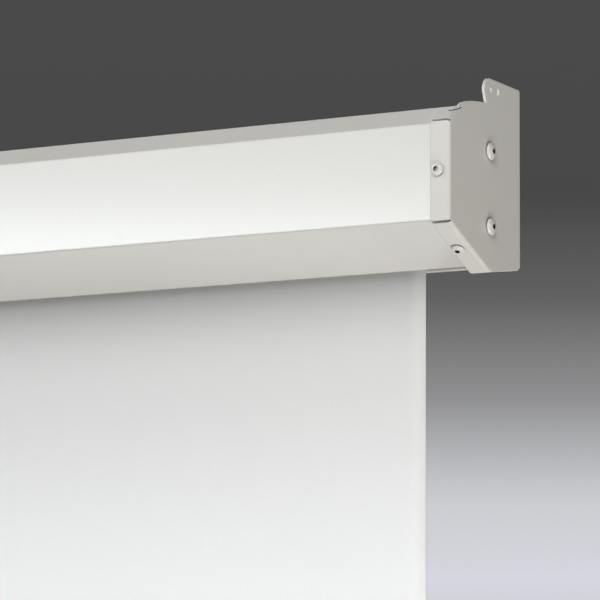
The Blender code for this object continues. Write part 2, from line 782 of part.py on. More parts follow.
def case_path():
    """Outer side of the folded case, from the front lip's return round to the rear lip's return."""
    chamfer_base = CAP_FRONT_HEIGHT - CASE_INSET / math.cos(CHAMFER_ANGLE)
    front_top = chamfer_base + CASE_INSET * math.tan(CHAMFER_ANGLE)
    chamfer_end = CASE_INSET + CASE_CHAMFER_WIDTH
    chamfer_top = chamfer_base + chamfer_end * math.tan(CHAMFER_ANGLE)
    front_bottom = CASE_INSET / math.cos(LOWER_FACE_ANGLE) - CASE_INSET * math.tan(LOWER_FACE_ANGLE)
    back_top = chamfer_top + (CASE_BACK_DEPTH - chamfer_end) * math.tan(TOP_RISE)
    back_bottom = (CASE_BACK_DEPTH - REAR_LIP_DEPTH) * math.tan(CAP_BOTTOM_RISE) - REAR_LIP_DROP
    return [
        Vector((LIP_DEPTH, LIP_HEIGHT + LIP_RETURN)),
        Vector((LIP_DEPTH, LIP_HEIGHT)),
        Vector((CASE_INSET, front_bottom)),
        Vector((CASE_INSET, front_top)),
        Vector((chamfer_end, chamfer_top)),
        Vector((CASE_BACK_DEPTH, back_top)),
        Vector((CASE_BACK_DEPTH, back_bottom)),
        Vector((REAR_LIP_DEPTH, -REAR_LIP_DROP)),
        Vector((REAR_LIP_DEPTH, LIP_RETURN - REAR_LIP_DROP)),
    ]


def make_case(material):
    outline = folded_outline(case_path(), CASE_SHEET, CASE_BEND_RADIUS)
    place = (0.0, -CAP_DEPTH, -HANG_HEIGHT)
    case = finish_object("case_shell", prism(outline, -CASE_HALF, CASE_HALF), material, place)
    through = 4 * CASE_SHEET
    radius = FLANGE_SCREW_SHANK / 2 + SCREW_HOLE_CLEARANCE
    holes = []
    for label, side in SIDES:
        for name, point, outward in flange_spots():
            seat = point - outward * CASE_INSET
            place = spot(side, FLANGE_SCREW_INSET, seat.x, seat.y)
            holes.append(hole(place, (0.0, outward.x, outward.y), radius, through))
    radius = SMALL_SCREW_SHANK / 2 + SCREW_HOLE_CLEARANCE
    for label, inset in box_screw_insets():
        place = spot(-1.0, inset, CASE_BACK_DEPTH, BOX_SCREW_HEIGHT)
        holes.append(hole(place, BACKWARDS, radius, through))
    place = spot(-1.0, BOX_END - KNOCKOUT_SETBACK, CASE_BACK_DEPTH, BOX_WIRING_HEIGHT)
    holes.append(hole(place, BACKWARDS, KNOCKOUT_RADIUS + CLEARANCE, through, FINE))
    drill(case, holes)


# Screws and nuts


def screw_mesh(head, shank, length, segments):
    """A domed screw: X points out of the head, and the seat is at X = 0."""
    height = head * HEAD_HEIGHT_SHARE
    rim = height * HEAD_RIM_SHARE
    recess = head / 2 * RECESS_SHARE
    floor = height * (1.0 - RECESS_DEPTH_SHARE)
    profile = [(-length, 0.0), (-length, shank / 2), (0.0, shank / 2), (0.0, head / 2), (rim, head / 2)]
    widest = math.acos(recess / (head / 2))
    for step in range(1, HEAD_CURVE_STEPS + 1):
        angle = widest * step / HEAD_CURVE_STEPS
        x = rim + (height - rim) * math.sin(angle) / math.sin(widest)
        profile.append((x, head / 2 * math.cos(angle)))
    profile += [(floor, recess), (floor, 0.0)]
    return turned(profile, segments)


def nut_mesh(shank):
    """A six-sided nut whose seat is at X = 0 and whose body lies towards -X."""
    bore = (shank / 2 + CLEARANCE) / math.cos(math.pi / 6)
    return tube(-NUT_THICKNESS, 0.0, bore, bore + NUT_WALL, 6)


def make_flange_screws(label, side, screw_material, nut_material):
    """The screws through the flanges into the case, and the nuts that take them inside."""
    for name, point, outward in flange_spots():
        facing = Vector((0.0, outward.x, outward.y))
        seat = spot(side, FLANGE_SCREW_INSET, point.x, point.y) + facing * CLEARANCE
        shape = screw_mesh(FLANGE_SCREW_HEAD, FLANGE_SCREW_SHANK, FLANGE_SCREW_LENGTH, COARSE)
        finish_object(f"{label}_{name}_screw", shape, screw_material, seat, facing)
        inside = point - outward * (CASE_INSET + CASE_SHEET + CLEARANCE)
        seat = spot(side, FLANGE_SCREW_INSET, inside.x, inside.y)
        finish_object(f"{label}_{name}_nut", nut_mesh(FLANGE_SCREW_SHANK), nut_material, seat, facing)


def make_plate_screws(label, side, screw_material, nut_material):
    """The screws through the end cap into the roller bracket, and their nuts."""
    facing = Vector((side, 0.0, 0.0))
    for name, height in plate_spots():
        seat = spot(side, -CLEARANCE, PLATE_SCREW_DEPTH, height)
        shape = screw_mesh(PLATE_SCREW_HEAD, PLATE_SCREW_SHANK, PLATE_SCREW_LENGTH, COARSE)
        finish_object(f"{label}_bracket_{name}_screw", shape, screw_material, seat, facing)
        seat = spot(side, BRACKET_FACE + CLEARANCE, PLATE_SCREW_DEPTH, height)
        shape = nut_mesh(PLATE_SCREW_SHANK)
        finish_object(f"{label}_bracket_{name}_nut", shape, nut_material, seat, facing)


# Roller and its free end


def make_bracket(name, side, bore, material):
    """A roller bracket: a flat plate behind the end cap with a hole on the roller's axis."""
    outline = rounded_rectangle(
        ROLLER_DEPTH - BRACKET_FRONT_REACH,
        ROLLER_HEIGHT - PLATE_SCREW_SPACING / 2 - BRACKET_EDGE,
        PLATE_SCREW_DEPTH + BRACKET_EDGE,
        ROLLER_HEIGHT + PLATE_SCREW_SPACING / 2 + BRACKET_EDGE,
        BRACKET_CORNER,
    )
    plate = prism(outline, -side * BRACKET_START, -side * BRACKET_FACE)
    bracket = finish_object(name, plate, material, spot(side, 0.0, 0.0, 0.0))
    through = 2 * BRACKET_FACE
    place = spot(side, 0.0, ROLLER_DEPTH, ROLLER_HEIGHT)
    holes = [hole(place, SIDEWAYS, bore + CLEARANCE, through, FINE)]
    radius = PLATE_SCREW_SHANK / 2 + SCREW_HOLE_CLEARANCE
    for label, height in plate_spots():
        place = spot(side, 0.0, PLATE_SCREW_DEPTH, height)
        holes.append(hole(place, SIDEWAYS, radius, through))
    drill(bracket, holes)


def make_idler_pin(steel):
    seat = BRACKET_FACE + CLEARANCE
    shoulder = seat + IDLER_PIN_SHOULDER
    end = BEARING_START + BEARING_LENGTH
    profile = [
        (BRACKET_START, 0.0),
        (BRACKET_START, IDLER_PIN_RADIUS),
        (seat, IDLER_PIN_RADIUS),
        (seat, IDLER_PIN_SHOULDER_RADIUS),
        (shoulder, IDLER_PIN_SHOULDER_RADIUS),
        (shoulder, IDLER_PIN_RADIUS),
        (end, IDLER_PIN_RADIUS),
        (end, 0.0),
    ]
    on_axis("idler_pin", turned(profile, COARSE), 1.0, steel)


def make_idler_bearing(roller, brass_metal):
    flange_end = BEARING_START + BEARING_FLANGE
    end = BEARING_START + BEARING_LENGTH
    profile = [
        (BEARING_START, BEARING_BORE),
        (BEARING_START, BEARING_RADIUS + BEARING_FLANGE_WIDTH),
        (flange_end, BEARING_RADIUS + BEARING_FLANGE_WIDTH),
        (flange_end, BEARING_RADIUS),
        (end, BEARING_RADIUS),
        (end, BEARING_BORE),
    ]
    on_axis("idler_bearing", turned(profile, COARSE, ring=True), 1.0, brass_metal, roller)


def end_ring(bore, length):
    """A flanged ring in the roller tube's end: its flange lies against the tube's end face."""
    face = TUBE_START - CLEARANCE
    profile = [
        (face - PLUG_FLANGE, bore),
        (face - PLUG_FLANGE, ROLLER_OUTER),
        (face, ROLLER_OUTER),
        (face, PLUG_RADIUS),
        (face + length, PLUG_RADIUS),
        (face + length, bore),
    ]
    return turned(profile, FINE, ring=True)


def make_idler_plug(roller, plastic):
    on_axis("idler_end_plug", end_ring(BEARING_RADIUS + CLEARANCE, PLUG_LENGTH), 1.0, plastic, roller)


def make_roller_tube(roller, steel):
    half = HALF_WIDTH - TUBE_START
    shape = tube(-half, half, ROLLER_INNER, ROLLER_OUTER, FINE)
    finish_object("roller_tube", shape, steel, parent=roller)


def make_fabric_wraps(roller, fabric):
    """The turns of fabric that stay on the roller when the screen is down."""
    half = FABRIC_WIDTH / 2
    shape = tube(-half, half, WRAP_INNER, WRAP_OUTER, FINE)
    finish_object("fabric_wraps", shape, fabric, parent=roller)


# Tubular motor


def limit_screws():
    """The two limit screws under the motor head: name, world place and outward direction."""
    down = -math.pi / 2
    inset = HEAD_END - LIMIT_SCREW_SETBACK
    centre = spot(-1.0, inset, ROLLER_DEPTH, ROLLER_HEIGHT)
    found = []
    for name, angle in (("up", down - LIMIT_SCREW_SPREAD), ("down", down + LIMIT_SCREW_SPREAD)):
        outward = Vector((0.0, math.cos(angle), math.sin(angle)))
        found.append((name, centre + outward * MOTOR_HEAD_RADIUS, outward))
    return found


def make_motor_head(plastic):
    """The fixed head of the motor, its neck in the bracket and its plug in the motor tube."""
    plug_end = MOTOR_TUBE_START + MOTOR_HEAD_PLUG
    profile = [
        (BRACKET_START, 0.0),
        (BRACKET_START, MOTOR_NECK_RADIUS),
        (HEAD_START, MOTOR_NECK_RADIUS),
        (HEAD_START, MOTOR_HEAD_RADIUS - MOTOR_HEAD_CHAMFER),
        (HEAD_START + MOTOR_HEAD_CHAMFER, MOTOR_HEAD_RADIUS),
        (HEAD_END, MOTOR_HEAD_RADIUS),
        (HEAD_END, MOTOR_CORE_RADIUS),
        (plug_end, MOTOR_CORE_RADIUS),
        (plug_end, 0.0),
    ]
    head = on_axis("motor_head", turned(profile, FINE), -1.0, plastic)
    depth = LIMIT_SCREW_LENGTH + CLEARANCE
    bore = LIMIT_SCREW_RADIUS + CLEARANCE
    drill(head, [hole(place, outward, bore, depth, SMALL) for name, place, outward in limit_screws()])


def make_limit_screws(brass_metal):
    for name, place, outward in limit_screws():
        shape = rod(-LIMIT_SCREW_LENGTH, LIMIT_SCREW_PROUD, LIMIT_SCREW_RADIUS, SMALL)
        finish_object("limit_screw_" + name, shape, brass_metal, place, outward)


def make_motor_clip(steel):
    """The open spring ring that locks the motor head's neck in its bracket."""
    inner = MOTOR_NECK_RADIUS + CLEARANCE
    outer = inner + MOTOR_CLIP_WIDTH
    end = CLIP_START + MOTOR_CLIP_THICKNESS
    clip = on_axis("motor_clip", tube(CLIP_START, end, inner, outer, FINE), -1.0, steel)
    half = MOTOR_CLIP_MOUTH / 2
    mouth = block((0.0, -half, 0.0), (2 * end, half, -2 * outer))
    cut(clip, "clip_mouth", mouth, spot(-1.0, 0.0, ROLLER_DEPTH, ROLLER_HEIGHT))


def make_motor_tube(steel):
    bore = MOTOR_TUBE_OUTER - MOTOR_TUBE_WALL
    shape = tube(MOTOR_TUBE_START, MOTOR_TUBE_END, bore, MOTOR_TUBE_OUTER, FINE)
    on_axis("motor_tube", shape, -1.0, steel)


def make_motor_insides(plastic, aluminium):
    """The cylinders stacked in the motor tube behind its head; gives back where they end."""
    stack = [
        ("limit_switch_unit", SWITCH_UNIT_LENGTH, plastic),
        ("capacitor", CAPACITOR_LENGTH, aluminium),
        ("motor_core", MOTOR_CORE_LENGTH, aluminium),
        ("motor_brake", BRAKE_LENGTH, plastic),
    ]
    start = MOTOR_TUBE_START + MOTOR_HEAD_PLUG + CLEARANCE
    for name, length, material in stack:
        on_axis(name, rod(start, start + length, MOTOR_CORE_RADIUS, COARSE), -1.0, material)
        start += length + CLEARANCE
    return start


def make_gearbox(start, aluminium):
    """The gearbox, which fills the motor tube's end and shows as a nose in front of it."""
    nose = MOTOR_TUBE_END + CLEARANCE
    seat = OUTPUT_SHAFT_RADIUS + CLEARANCE
    profile = [
        (start, 0.0),
        (start, MOTOR_CORE_RADIUS),
        (nose, MOTOR_CORE_RADIUS),
        (nose, MOTOR_TUBE_OUTER),
        (GEARBOX_END, MOTOR_TUBE_OUTER),
        (GEARBOX_END, seat),
        (GEARBOX_END - SHAFT_SEAT_DEPTH, seat),
        (GEARBOX_END - SHAFT_SEAT_DEPTH, 0.0),
    ]
    on_axis("gearbox", turned(profile, FINE), -1.0, aluminium)


def make_output_shaft(roller, steel):
    start = GEARBOX_END - SHAFT_SEAT_DEPTH + CLEARANCE
    shape = rod(start, CROWN_CLIP_END + SHAFT_TAIL, OUTPUT_SHAFT_RADIUS, COARSE)
    on_axis("output_shaft", shape, -1.0, steel, roller)


def make_drive_crown(roller, plastic):
    """The wheel on the output shaft that turns the roller tube."""
    bore = OUTPUT_SHAFT_RADIUS + CLEARANCE
    shape = tube(DRIVE_CROWN_START, DRIVE_CROWN_END, bore, PLUG_RADIUS, FINE)
    on_axis("drive_crown", shape, -1.0, plastic, roller)


def make_crown_clip(roller, steel):
    bore = OUTPUT_SHAFT_RADIUS + CLEARANCE
    start = DRIVE_CROWN_END + CLEARANCE
    shape = tube(start, CROWN_CLIP_END, bore, bore + CROWN_CLIP_WIDTH, COARSE)
    on_axis("crown_clip", shape, -1.0, steel, roller)


def make_limit_crown(roller, plastic):
    """The ring round the motor tube that the roller tube drives to count its turns."""
    ring = end_ring(MOTOR_TUBE_OUTER + CLEARANCE, LIMIT_CROWN_LENGTH)
    on_axis("limit_crown", ring, -1.0, plastic, roller)


# Junction box


def box_block(inset_start, inset_end, u_low, u_high, v_low, v_high):
    """A rectangular body on the left side, given by insets and section coordinates."""
    return block(spot(-1.0, inset_start, u_low, v_low), spot(-1.0, inset_end, u_high, v_high))


def box_screw_insets():
    middle = BOX_INSET + BOX_LENGTH / 2
    half = BOX_SCREW_SPREAD / 2
    return [("outer", middle - half), ("inner", middle + half)]


def cover_screw_insets():
    return [("outer", BOX_INSET + BOX_FRAME / 2), ("inner", BOX_END - BOX_FRAME / 2)]


def ground_screw_place():
    inset = BOX_END - GROUND_SCREW_SETBACK
    return spot(-1.0, inset, BOX_MIDDLE_DEPTH, BOX_BOTTOM + BOX_SHEET + CLEARANCE)


def make_junction_box(material):
    """The open-fronted sheet box on the case's back, with a frame that the cover screws into."""
    wall = BOX_SHEET
    front = BOX_FRONT_DEPTH
    back = BOX_BACK_DEPTH
    body = box_block(BOX_INSET, BOX_END, front, back, BOX_BOTTOM, BOX_TOP)
    box = finish_object("junction_box", body, material)
    low = BOX_BOTTOM + wall
    high = BOX_TOP - wall
    cavity = box_block(BOX_INSET + wall, BOX_END - wall, front + wall, back - wall, low, high)
    cut(box, "box_cavity", cavity)
    low = BOX_BOTTOM + BOX_LEDGE
    high = BOX_TOP - BOX_LEDGE
    mouth = box_block(BOX_INSET + BOX_FRAME, BOX_END - BOX_FRAME, front - wall, front + 2 * wall, low, high)
    cut(box, "box_mouth", mouth)
    through = 3 * wall
    radius = SMALL_SCREW_SHANK / 2 + SCREW_HOLE_CLEARANCE
    holes = [hole(ground_screw_place(), UPWARDS, radius, through)]
    for label, inset in cover_screw_insets():
        holes.append(hole(spot(-1.0, inset, front, BOX_MIDDLE_HEIGHT), FORWARDS, radius, through))
    for label, inset in box_screw_insets():
        holes.append(hole(spot(-1.0, inset, back, BOX_SCREW_HEIGHT), FORWARDS, radius, through))
    place = spot(-1.0, BOX_END - KNOCKOUT_SETBACK, back, BOX_WIRING_HEIGHT)
    holes.append(hole(place, FORWARDS, KNOCKOUT_RADIUS + CLEARANCE, through, FINE))
    place = spot(-1.0, BOX_INSET, BOX_MIDDLE_DEPTH, BOX_WIRING_HEIGHT)
    holes.append(hole(place, SIDEWAYS, BUSH_RADIUS + CLEARANCE, through))
    drill(box, holes)


def make_box_cover(material):
    back = BOX_FRONT_DEPTH - CLEARANCE
    body = box_block(BOX_INSET, BOX_END, COVER_FACE_DEPTH, back, BOX_BOTTOM, BOX_TOP)
    cover = finish_object("junction_box_cover", body, material)
    radius = SMALL_SCREW_SHANK / 2 + SCREW_HOLE_CLEARANCE
    through = 3 * BOX_SHEET
    holes = []
    for label, inset in cover_screw_insets():
        place = spot(-1.0, inset, COVER_FACE_DEPTH, BOX_MIDDLE_HEIGHT)
        holes.append(hole(place, FORWARDS, radius, through))
    drill(cover, holes)


def make_box_screws(steel):
    """The screws that hold the cover, and those that hold the box to the case's back."""
    for label, inset in cover_screw_insets():
        seat = spot(-1.0, inset, COVER_FACE_DEPTH - CLEARANCE, BOX_MIDDLE_HEIGHT)
        shape = screw_mesh(SMALL_SCREW_HEAD, SMALL_SCREW_SHANK, COVER_SCREW_LENGTH, SMALL)
        finish_object("cover_screw_" + label, shape, steel, seat, FORWARDS)
    for label, inset in box_screw_insets():
        seat = spot(-1.0, inset, BOX_BACK_DEPTH - BOX_SHEET - CLEARANCE, BOX_SCREW_HEIGHT)
        shape = screw_mesh(SMALL_SCREW_HEAD, SMALL_SCREW_SHANK, BOX_SCREW_LENGTH, SMALL)
        finish_object("box_screw_" + label, shape, steel, seat, FORWARDS)


def make_ground_screw(brass_metal):
    shape = screw_mesh(SMALL_SCREW_HEAD, SMALL_SCREW_SHANK, GROUND_SCREW_LENGTH, SMALL)
    finish_object("ground_screw", shape, brass_metal, ground_screw_place(), UPWARDS)


def make_knockout_plug(black):
    """The plug in the supply hole through the case's back and the box's back."""
    flange = CLEARANCE + KNOCKOUT_THICKNESS
    profile = [
        (-KNOCKOUT_BODY, 0.0),
        (-KNOCKOUT_BODY, KNOCKOUT_RADIUS),
        (CLEARANCE, KNOCKOUT_RADIUS),
        (CLEARANCE, KNOCKOUT_RADIUS + KNOCKOUT_FLANGE),
        (flange, KNOCKOUT_RADIUS + KNOCKOUT_FLANGE),
        (flange, 0.0),
    ]
    place = spot(-1.0, BOX_END - KNOCKOUT_SETBACK, CASE_BACK_DEPTH, BOX_WIRING_HEIGHT)
    finish_object("knockout_plug", turned(profile, FINE), black, place, BACKWARDS)


def make_terminal_block(plastic):
    """The terminal block on the box's back wall, with a groove between its ways."""
    start = CABLE_END_INSET + CLEARANCE
    back = BOX_BACK_DEPTH - BOX_SHEET - CLEARANCE
    front = BOX_FRONT_DEPTH + BOX_SHEET + TERMINAL_FRONT_ROOM
    low = BOX_WIRING_HEIGHT - TERMINAL_HEIGHT / 2
    high = BOX_WIRING_HEIGHT + TERMINAL_HEIGHT / 2
    body = box_block(start, start + TERMINAL_LENGTH, front, back, low, high)
    terminal = finish_object("terminal_block", body, plastic)
    half = TERMINAL_GROOVE / 2
    for way in range(1, TERMINAL_WAYS):
        middle = start + way * TERMINAL_LENGTH / TERMINAL_WAYS
        deepest = front + 2 * TERMINAL_GROOVE
        groove = box_block(middle - half, middle + half, front - half, deepest, low - half, high + half)
        cut(terminal, f"terminal_{way}", groove)


def make_cable_bush(black):
    """The bush that guides the motor cable through the box's end wall."""
    bore = CABLE_RADIUS + CLEARANCE
    profile = [
        (-CLEARANCE - BUSH_FLANGE, bore),
        (-CLEARANCE - BUSH_FLANGE, BUSH_RADIUS + BUSH_RIM),
        (-CLEARANCE, BUSH_RADIUS + BUSH_RIM),
        (-CLEARANCE, BUSH_RADIUS),
        (BOX_SHEET + BUSH_TAIL, BUSH_RADIUS),
        (BOX_SHEET + BUSH_TAIL, bore),
    ]
    place = spot(-1.0, BOX_INSET, BOX_MIDDLE_DEPTH, BOX_WIRING_HEIGHT)
    finish_object("cable_bush", turned(profile, COARSE, ring=True), black, place)


def cable_route():
    """World points from the motor head's side, in one bend, through the bush into the box."""
    nearest = CABLE_EXIT_DROP - CABLE_RADIUS
    side_depth = ROLLER_DEPTH + math.sqrt(MOTOR_HEAD_RADIUS**2 - nearest**2) + CLEARANCE
    start = spot(-1.0, HEAD_START + CABLE_EXIT_ALONG, side_depth, ROLLER_HEIGHT - CABLE_EXIT_DROP)
    bush = spot(-1.0, BOX_INSET - BUSH_FLANGE, BOX_MIDDLE_DEPTH, BOX_WIRING_HEIGHT)
    pull_start = start + Vector((0.0, CABLE_BEND_PULL, 0.0))
    pull_end = bush - Vector((CABLE_BEND_PULL, 0.0, 0.0))
    points = []
    for step in range(CABLE_STEPS + 1):
        t = step / CABLE_STEPS
        rest = 1.0 - t
        near = start * rest**3 + pull_start * (3 * rest**2 * t)
        far = pull_end * (3 * rest * t**2) + bush * t**3
        points.append(near + far)
    points.append(spot(-1.0, CABLE_END_INSET, BOX_MIDDLE_DEPTH, BOX_WIRING_HEIGHT))
    return points


def make_motor_cable(black):
    curve = bpy.data.curves.new("motor_cable", "CURVE")
    curve.dimensions = "3D"
    curve.bevel_depth = CABLE_RADIUS
    curve.bevel_resolution = 2
    curve.use_fill_caps = True
    points = cable_route()
    spline = curve.splines.new("POLY")
    spline.points.add(len(points) - 1)
    for target, point in zip(spline.points, points):
        target.co = (*point, 1.0)
    cable = bpy.data.objects.new("motor_cable", curve)
    bpy.context.scene.collection.objects.link(cable)
    curve.materials.append(black)


# Fabric and batten


def make_screen_fabric(fabric):
    """The lowered fabric, from the height of the roller's axis down to its hem."""
    half = FABRIC_WIDTH / 2
    thick = FABRIC_THICKNESS / 2
    sheet = block((-half, -thick, FABRIC_BOTTOM - ROLLER_HEIGHT), (half, thick, 0.0))
    place = (0.0, FABRIC_DEPTH - CAP_DEPTH, ROLLER_HEIGHT - HANG_HEIGHT)
    finish_object("screen_fabric", sheet, fabric, place)


def hem_outline():
    """Outside of the hem: a loop round the batten and the welded strip above it."""
    half = FABRIC_THICKNESS
    join = math.asin(half / HEM_OUTER)
    loop = arc((0.0, 0.0), HEM_OUTER, math.pi / 2 + join, math.pi / 2 - join + FULL_TURN, FINE)
    top = HEM_OUTER + HEM_WELD_HEIGHT
    return [Vector((-half, top)), *loop, Vector((half, top))]


def make_batten_hem(batten, fabric):
    half = FABRIC_WIDTH / 2
    length = half - HEM_SIDE_INSET
    hem = finish_object("batten_hem", prism(hem_outline(), -length, length), fabric, parent=batten)
    drill(hem, [hole(batten.location, SIDEWAYS, HEM_INNER, half, FINE)])


def make_batten_tube(batten, steel):
    half = FABRIC_WIDTH / 2
    shape = tube(-half, half, BATTEN_RADIUS - BATTEN_WALL, BATTEN_RADIUS, FINE)
    finish_object("batten_tube", shape, steel, parent=batten)


def make_batten_cap(batten, label, side, plastic):
    plug = BATTEN_RADIUS - BATTEN_WALL - CLEARANCE
    rim = CLEARANCE + BATTEN_CAP_RIM
    face = rim + BATTEN_CAP_CROWN
    profile = [
        (-BATTEN_CAP_PLUG, 0.0),
        (-BATTEN_CAP_PLUG, plug),
        (CLEARANCE, plug),
        (CLEARANCE, HEM_OUTER),
        (rim, HEM_OUTER),
        (face, HEM_OUTER - BATTEN_CAP_BEVEL),
        (face, 0.0),
    ]
    place = (side * FABRIC_WIDTH / 2, 0.0, 0.0)
    name = label + "_batten_cap"
    finish_object(name, turned(profile, COARSE), plastic, place, (side, 0.0, 0.0), batten)


# Assembly


def build_ends(zinc):
    paint = powder_coat()
    screw = screw_paint()
    make_case(paint)
    for label, side in SIDES:
        make_end_cap(label, side, paint)
        make_flange_screws(label, side, screw, zinc)
        make_plate_screws(label, side, screw, zinc)
    make_bracket("idler_bracket", 1.0, IDLER_PIN_RADIUS, zinc)
    make_bracket("motor_bracket", -1.0, MOTOR_NECK_RADIUS, zinc)


def build_roller(roller, zinc, brass_metal, grey, fabric):
    make_idler_pin(zinc)
    make_idler_bearing(roller, brass_metal)
    make_idler_plug(roller, grey)
    make_roller_tube(roller, zinc)
    make_fabric_wraps(roller, fabric)


def build_motor(roller, steel, brass_metal, grey, black):
    aluminium = cast_aluminium()
    make_motor_head(grey)
    make_limit_screws(brass_metal)
    make_motor_clip(steel)
    make_motor_tube(steel)
    stack_end = make_motor_insides(black, aluminium)
    make_gearbox(stack_end, aluminium)
    make_output_shaft(roller, steel)
    make_drive_crown(roller, grey)
    make_crown_clip(roller, steel)
    make_limit_crown(roller, grey)


def build_wiring(zinc, steel, brass_metal, white, black):
    make_junction_box(zinc)
    make_box_cover(zinc)
    make_box_screws(steel)
    make_ground_screw(brass_metal)
    make_knockout_plug(black)
    make_terminal_block(white)
    make_cable_bush(black)
    make_motor_cable(black)


def build_batten(batten, fabric, steel, white):
    make_batten_hem(batten, fabric)
    make_batten_tube(batten, steel)
    for label, side in SIDES:
        make_batten_cap(batten, label, side, white)


def build():
    clear_scene()
    zinc = zinc_plate()
    steel = bright_steel()
    brass_metal = brass()
    grey = grey_plastic()
    black = black_plastic()
    white = white_plastic()
    fabric = screen_white()
    roller = axis_empty("roller_axis", ROLLER_DEPTH, ROLLER_HEIGHT)
    batten = axis_empty("batten_axis", FABRIC_DEPTH, BATTEN_HEIGHT)
    build_ends(zinc)
    build_roller(roller, zinc, brass_metal, grey, fabric)
    build_motor(roller, steel, brass_metal, grey, black)
    build_wiring(zinc, steel, brass_metal, white, black)
    make_screen_fabric(fabric)
    build_batten(batten, fabric, steel, white)


build()
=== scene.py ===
"""Looks of the motorized projection screen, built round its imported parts.

X runs along the case, +Y into the wall and +Z up. The origin is on the wall between the two wall
screws. Section depths are counted from the case's front, and heights from its lower front corner.
"""

import json
import math

import bmesh
import bpy
from mathutils import Matrix, Vector, noise


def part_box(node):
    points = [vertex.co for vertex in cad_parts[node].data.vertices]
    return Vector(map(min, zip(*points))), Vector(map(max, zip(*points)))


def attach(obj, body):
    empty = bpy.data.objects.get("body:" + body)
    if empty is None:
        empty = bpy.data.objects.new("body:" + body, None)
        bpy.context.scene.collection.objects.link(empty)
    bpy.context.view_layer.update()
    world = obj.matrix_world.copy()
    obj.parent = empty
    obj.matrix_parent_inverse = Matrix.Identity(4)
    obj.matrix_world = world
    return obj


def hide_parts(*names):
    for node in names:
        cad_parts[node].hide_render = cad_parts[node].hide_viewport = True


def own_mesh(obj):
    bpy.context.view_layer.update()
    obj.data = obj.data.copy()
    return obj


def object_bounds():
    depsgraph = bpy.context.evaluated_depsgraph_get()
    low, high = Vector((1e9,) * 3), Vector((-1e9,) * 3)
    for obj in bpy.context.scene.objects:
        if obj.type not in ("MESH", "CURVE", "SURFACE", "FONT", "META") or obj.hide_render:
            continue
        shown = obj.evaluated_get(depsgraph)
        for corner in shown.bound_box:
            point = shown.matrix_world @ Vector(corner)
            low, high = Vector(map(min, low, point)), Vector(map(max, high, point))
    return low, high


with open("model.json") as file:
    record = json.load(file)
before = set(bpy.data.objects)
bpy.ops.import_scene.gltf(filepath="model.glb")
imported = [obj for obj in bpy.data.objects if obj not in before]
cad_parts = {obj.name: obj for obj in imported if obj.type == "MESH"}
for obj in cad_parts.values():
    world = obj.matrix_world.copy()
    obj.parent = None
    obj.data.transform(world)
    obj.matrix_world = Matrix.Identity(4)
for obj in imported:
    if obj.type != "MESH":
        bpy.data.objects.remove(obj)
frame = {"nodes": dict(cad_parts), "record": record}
CAD_LOW, CAD_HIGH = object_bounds()

# Camera, as the photograph was taken
CAMERA_PLACE = Vector((2.1075, -2.4849, -0.5125))
CAMERA_RIGHT = Vector((0.859, 0.5117, 0.0051))
CAMERA_AHEAD = Vector((-0.508, 0.8516, 0.1285))
CAMERA_LENS = 223.5

# The backdrop by the rise of the view: palest just above the horizon, and dark grey higher up
BACKDROP_SHADES = (
    (0.0, (0.43, 0.43, 0.44)),
    (0.054, (0.674, 0.680, 0.737)),
    (0.0755, (0.591, 0.604, 0.631)),
    (0.102, (0.283, 0.283, 0.290)),
    (0.129, (0.122, 0.122, 0.124)),
    (0.155, (0.065, 0.065, 0.065)),
    (0.208, (0.069, 0.069, 0.069)),
)

# The floor, and the glow that the camera sees on it, which makes it meet the backdrop
FLOOR_RADIUS = 40.0
FLOOR_DROP = 0.30
FLOOR_GLOW = (0.40, 0.40, 0.405, 1.0)

# The softboxes that look at the right end: turn and rise in degrees, power and colour
LAMP_AIM = Vector((0.45, -0.09, -0.25))
LAMP_DISTANCE = 3.2
LAMP_SQUARE = (1.5, 1.5)
FLOOR_LAMP_HEIGHT = -1.93
SOFTBOXES = (
    ("left_low_soft", -30, 20, 8.5, (0.93, 0.98, 1.0)),
    ("left_high_soft", -60, 35, 28.4, (1.0, 1.0, 1.0)),
    ("right_high_soft", 30, 35, 47.0, (1.0, 0.99, 0.975)),
)

# The screen's own sizes
HALF_WIDTH = 0.820
CAP_DEPTH = 0.114
HANG_HEIGHT = 0.104
CLEARANCE = 0.0003
LOWER_FACE_ANGLE = math.radians(26.2)
FABRIC_WIDTH = 1.524
FABRIC_THICKNESS = 0.0005
FABRIC_TUCK = 0.0012
ROLLER_AXIS = Vector((0.0, -0.06675, -0.072))

# The cloth's slow waves, which leave a straight run below the roller
WAVE_DEPTH = 0.0010
STRAIGHT_RUN = 0.08

# The turn of cloth on the roller
ROLL_INNER_RADIUS = 0.02095
ROLL_OUTER_RADIUS = 0.02144
ROLL_CLOTH_THICKNESS = 0.00048
ROLL_STEPS = 96

# The batten's hem
BATTEN_RADIUS = 0.00635
HEM_RADIUS = 0.0069
HEM_NECK = 0.002
HEM_SLACK = 0.00001
HEM_CLOTH_THICKNESS = FABRIC_THICKNESS - 0.00004
HEM_STEPS = 48
HEM_CUTS = 60
RIPPLE_DEPTH = 0.00012
WELD_HEIGHT = 0.012
WELD_RIB_PITCH = 0.0015

# The plugs in the batten's ends, with a small dimple in their outer face
PLUG_LENGTH = 0.015
PLUG_SHOULDER = 0.0135
PLUG_SLACK = 0.0013
CAP_CHAMFER = 0.0003
CAP_RIM = 0.0040
CAP_ROUND_LENGTH = 0.0023
CAP_ROUND_DEPTH = 0.0026
CAP_ROUND_STEPS = 6
CAP_DIMPLE = [(0.0063, 0.0024), (0.0058, 0.0018), (0.0058, 0.0)]

# The motor's cable
CABLE_RADIUS = 0.003
CABLE_EASE = 0.020
CABLE_STEPS = 24

# Where the screws sit on each end cap
FLANGE_SCREW_INSET = 0.0099
FRONT_SCREW_HEIGHT = 0.0389
LOWER_SCREW_ALONG = 0.0356
PLATE_SCREW_DEPTH = 0.0627
PLATE_SCREW_HEIGHTS = {"upper": 0.0605, "bottom": 0.0035}

